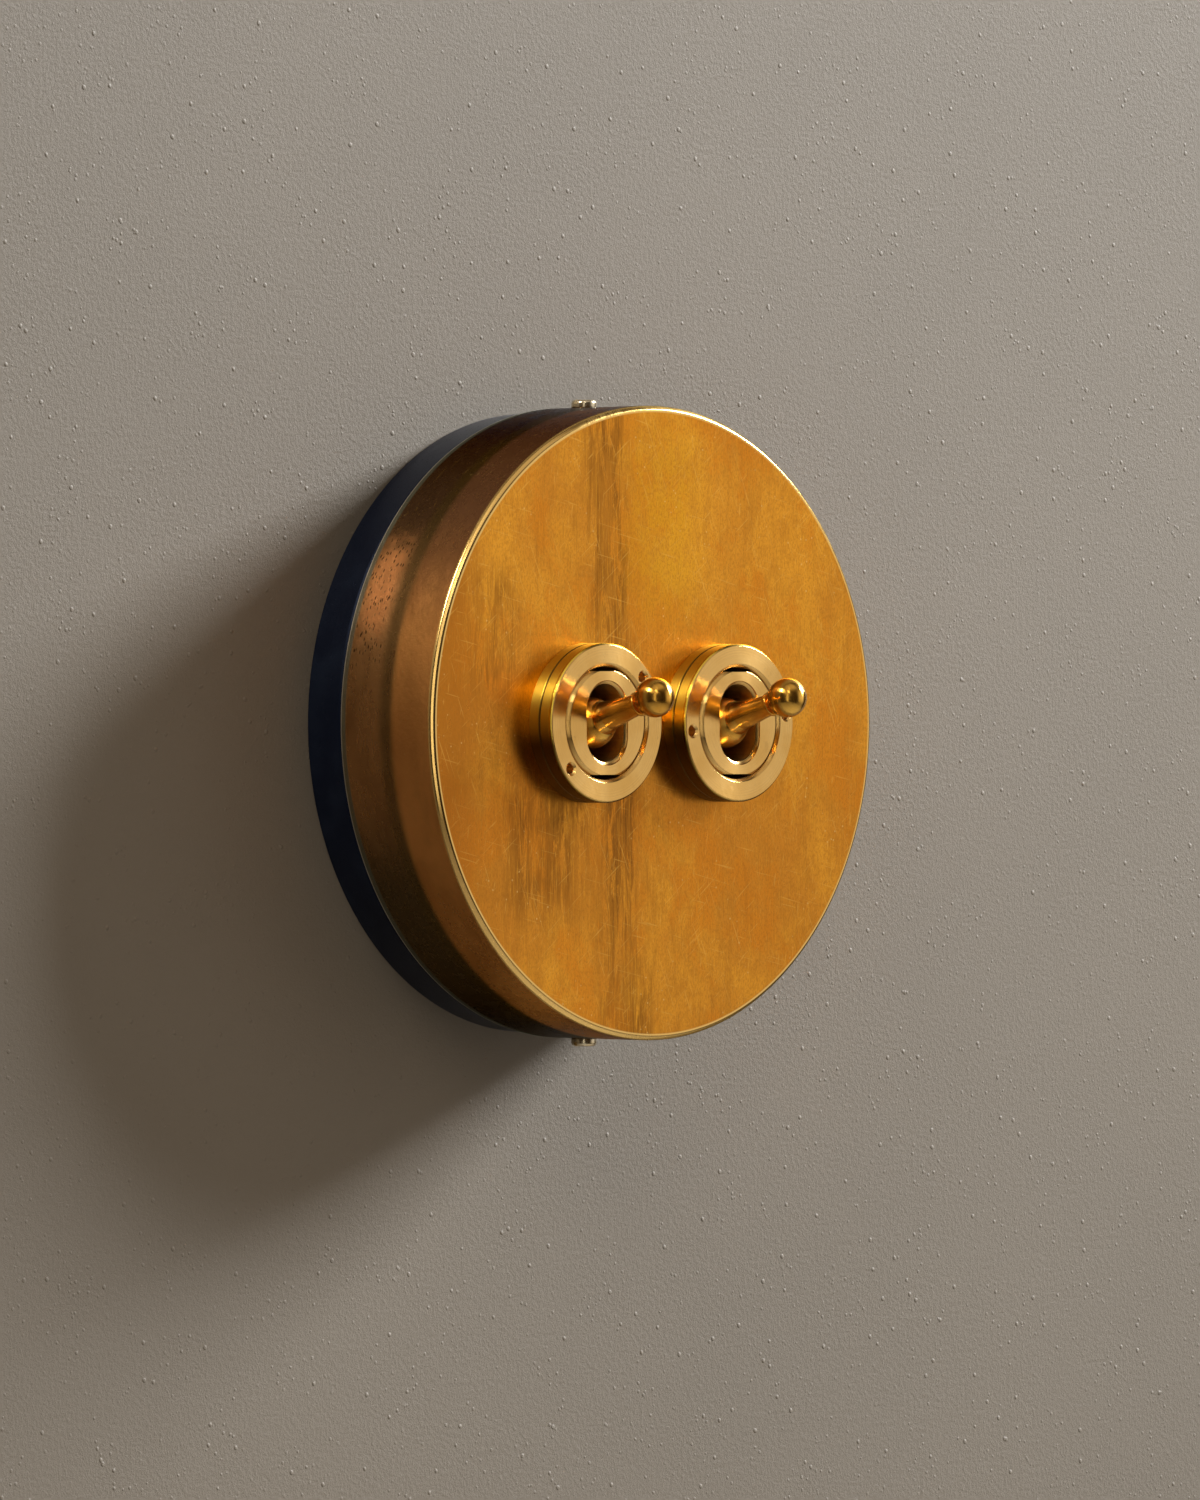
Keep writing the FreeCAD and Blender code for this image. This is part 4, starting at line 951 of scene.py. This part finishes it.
def wall_look():
    """Painted plaster with a fine roller texture, clear when seen from behind."""
    grey, pale_grey = (0.238, 0.201, 0.156), (0.258, 0.218, 0.170)
    look = Look("wall_paint", roughness=0.6)
    place = look.place()
    clouds = look.noise(place, 0.006, 3.0)
    look.set("Base Color", look.blend(look.band(clouds, 0.3, 0.7), grey, pale_grey))
    peel = look.noise(place, 1.0, 5.0, 0.75)
    gathered = look.band(look.noise(place, 0.10, 2.0), 0.42, 0.66, 0.18, 1.0)
    nibs = look.band(look.spots(place, 0.22), 0.05, 0.12, 0.62, 0.0)
    small_nibs = look.product(look.band(look.spots(place, 0.50), 0.10, 0.20, 0.46, 0.0), gathered)
    relief = look.total(look.product(peel, 0.65), look.highest(nibs, small_nibs))
    look.set("Normal", look.bump(relief, 0.55, 0.0005))
    clear = look.tree.nodes.new("ShaderNodeBsdfTransparent")
    facing = look.tree.nodes.new("ShaderNodeNewGeometry")
    choice = look.tree.nodes.new("ShaderNodeMixShader")
    look.join(facing.outputs["Backfacing"], choice.inputs[0])
    look.join(look.surface.outputs["BSDF"], choice.inputs[1])
    look.join(clear.outputs["BSDF"], choice.inputs[2])
    look.join(choice.outputs["Shader"], look.output.inputs["Surface"])
    return look.material


def floor_look():
    """Pale paint with a faint change of tone."""
    grey, pale_grey = (0.52, 0.49, 0.45), (0.56, 0.53, 0.49)
    look = Look("floor_paint", roughness=0.8)
    look.set("Base Color", look.blend(look.noise(look.place(), 0.004, 2.0), grey, pale_grey))
    return look.material


def draw_wall(shape):
    """A wide flat ring that looks along -Y. Its hole is hidden by the base."""
    hole, reach, steps = 60.8, 2500.0, 128
    rows = []
    for radius in (hole, reach):
        turns = [2 * math.pi * step / steps for step in range(steps)]
        row = [(radius * math.cos(turn) * MM, 0.0, radius * math.sin(turn) * MM) for turn in turns]
        rows.append([shape.verts.new(point) for point in row])
    for step in range(steps):
        after = (step + 1) % steps
        shape.faces.new([rows[0][step], rows[1][step], rows[1][after], rows[0][after]])
    if shape.faces[:][0].normal.y > 0:
        bmesh.ops.reverse_faces(shape, faces=shape.faces)


def draw_floor(shape):
    reach, level = 4000, -2200
    corners = [(-reach, -reach), (reach, -reach), (reach, reach), (-reach, reach)]
    shape.faces.new([shape.verts.new((x * MM, y * MM, level * MM)) for x, y in corners])


stage_object("wall", draw_wall, wall_look())
stage_object("floor", draw_floor, floor_look())


# Light: a key that grazes the wall from the upper right, two small lamps to the left and a fill
# behind for the back. Here and at the camera, places and sizes are in metres. Every lamp looks
# at the switch.

def lamp(name, place, size, power, tint=(1.0, 1.0, 1.0)):
    data = bpy.data.lights.new(name, "AREA")
    data.shape = "RECTANGLE"
    data.size, data.size_y = size
    data.energy = power
    data.color = tint
    thing = bpy.data.objects.new(name, data)
    bpy.context.scene.collection.objects.link(thing)
    thing.location = place
    thing.rotation_mode = "QUATERNION"
    thing.rotation_quaternion = (-Vector(place)).to_track_quat("-Z", "Y")


lamp("key", place=(2.50, -0.87, 1.32), size=(1.0, 0.8), power=163.0, tint=(0.97, 1.0, 1.02))
lamp("window", place=(-0.93, -1.33, 1.18), size=(0.20, 0.35), power=1.2, tint=(1.0, 0.92, 0.80))
lamp("side", place=(-1.33, -0.09, 1.21), size=(0.10, 0.5), power=20.0, tint=(1.0, 0.90, 0.76))
lamp("back_fill", place=(0.6, 1.6, 0.9), size=(1.2, 1.2), power=12.0)


def light_room():
    """A dim warm room: bright to the right, a pale ceiling and a tall leaning window to the left."""
    low_room, high_room = (0.022, 0.014, 0.008), (0.060, 0.042, 0.028)
    bright_wall, pale_ceiling, window_light = (0.74, 0.67, 0.58), (0.55, 0.47, 0.38), (1.7, 1.55, 1.28)

    world = bpy.data.worlds.new("studio")
    bpy.context.scene.world = world
    world.use_nodes = True
    room = Nodes(world.node_tree)
    output = room.tree.nodes.new("ShaderNodeOutputWorld")
    light = room.tree.nodes.new("ShaderNodeBackground")
    outward = room.tree.nodes.new("ShaderNodeTexCoord")
    x, y, z = room.split(outward.outputs["Generated"])
    degrees = 180 / math.pi
    turn = room.product(room.maths("ARCTAN2", x, room.product(y, -1.0)), degrees)
    rise = room.product(room.maths("ARCSINE", z), degrees)
    tone = room.blend(room.band(rise, -35.0, 60.0), low_room, high_room)
    tone = room.blend(room.patch(turn, rise, (46.0, 32.0, 9.0), (5.0, 36.0, 9.0)), tone, bright_wall)
    tone = room.blend(room.patch(turn, rise, (-10.0, 75.0, 40.0), (62.0, 26.0, 8.0)), tone, pale_ceiling)
    leaning = room.maths("SUBTRACT", turn, room.product(rise, rise, 0.0065))
    tone = room.blend(room.patch(leaning, rise, (-46.0, 5.5, 1.5), (20.0, 50.0, 30.0)), tone, window_light)
    room.put(light.inputs["Color"], tone)
    room.join(light.outputs["Background"], output.inputs["Surface"])


light_room()


# Camera: level with the switch, about 45 degrees to its left, 2 m away

CAMERA_DISTANCE = 2.0
CAMERA_AZIMUTH = -45.4
FOCAL_PIXELS = 10030.0
IMAGE_HEIGHT = 1500.0
ORIGIN_LEFT_PIXELS = 71.0
ORIGIN_UP_PIXELS = 27.0
SENSOR = 36.0

way = math.radians(CAMERA_AZIMUTH)
toward = Vector((math.sin(way), -math.cos(way), 0.0))
rightward = Vector((math.cos(way), math.sin(way), 0.0))
pixel = CAMERA_DISTANCE / FOCAL_PIXELS
aim = rightward * (ORIGIN_LEFT_PIXELS * pixel) + Vector((0, 0, -ORIGIN_UP_PIXELS * pixel))
camera_data = bpy.data.cameras.new("camera")
camera_data.sensor_width = SENSOR
camera_data.lens = SENSOR * FOCAL_PIXELS / IMAGE_HEIGHT
camera_data.clip_start = 0.1
camera_data.clip_end = 20.0
camera = bpy.data.objects.new("camera", camera_data)
bpy.context.scene.collection.objects.link(camera)
camera.location = toward * CAMERA_DISTANCE
camera.rotation_mode = "QUATERNION"
camera.rotation_quaternion = (aim - camera.location).to_track_quat("-Z", "Y")
bpy.context.scene.camera = camera
bpy.context.scene.view_settings.view_transform = "Standard"
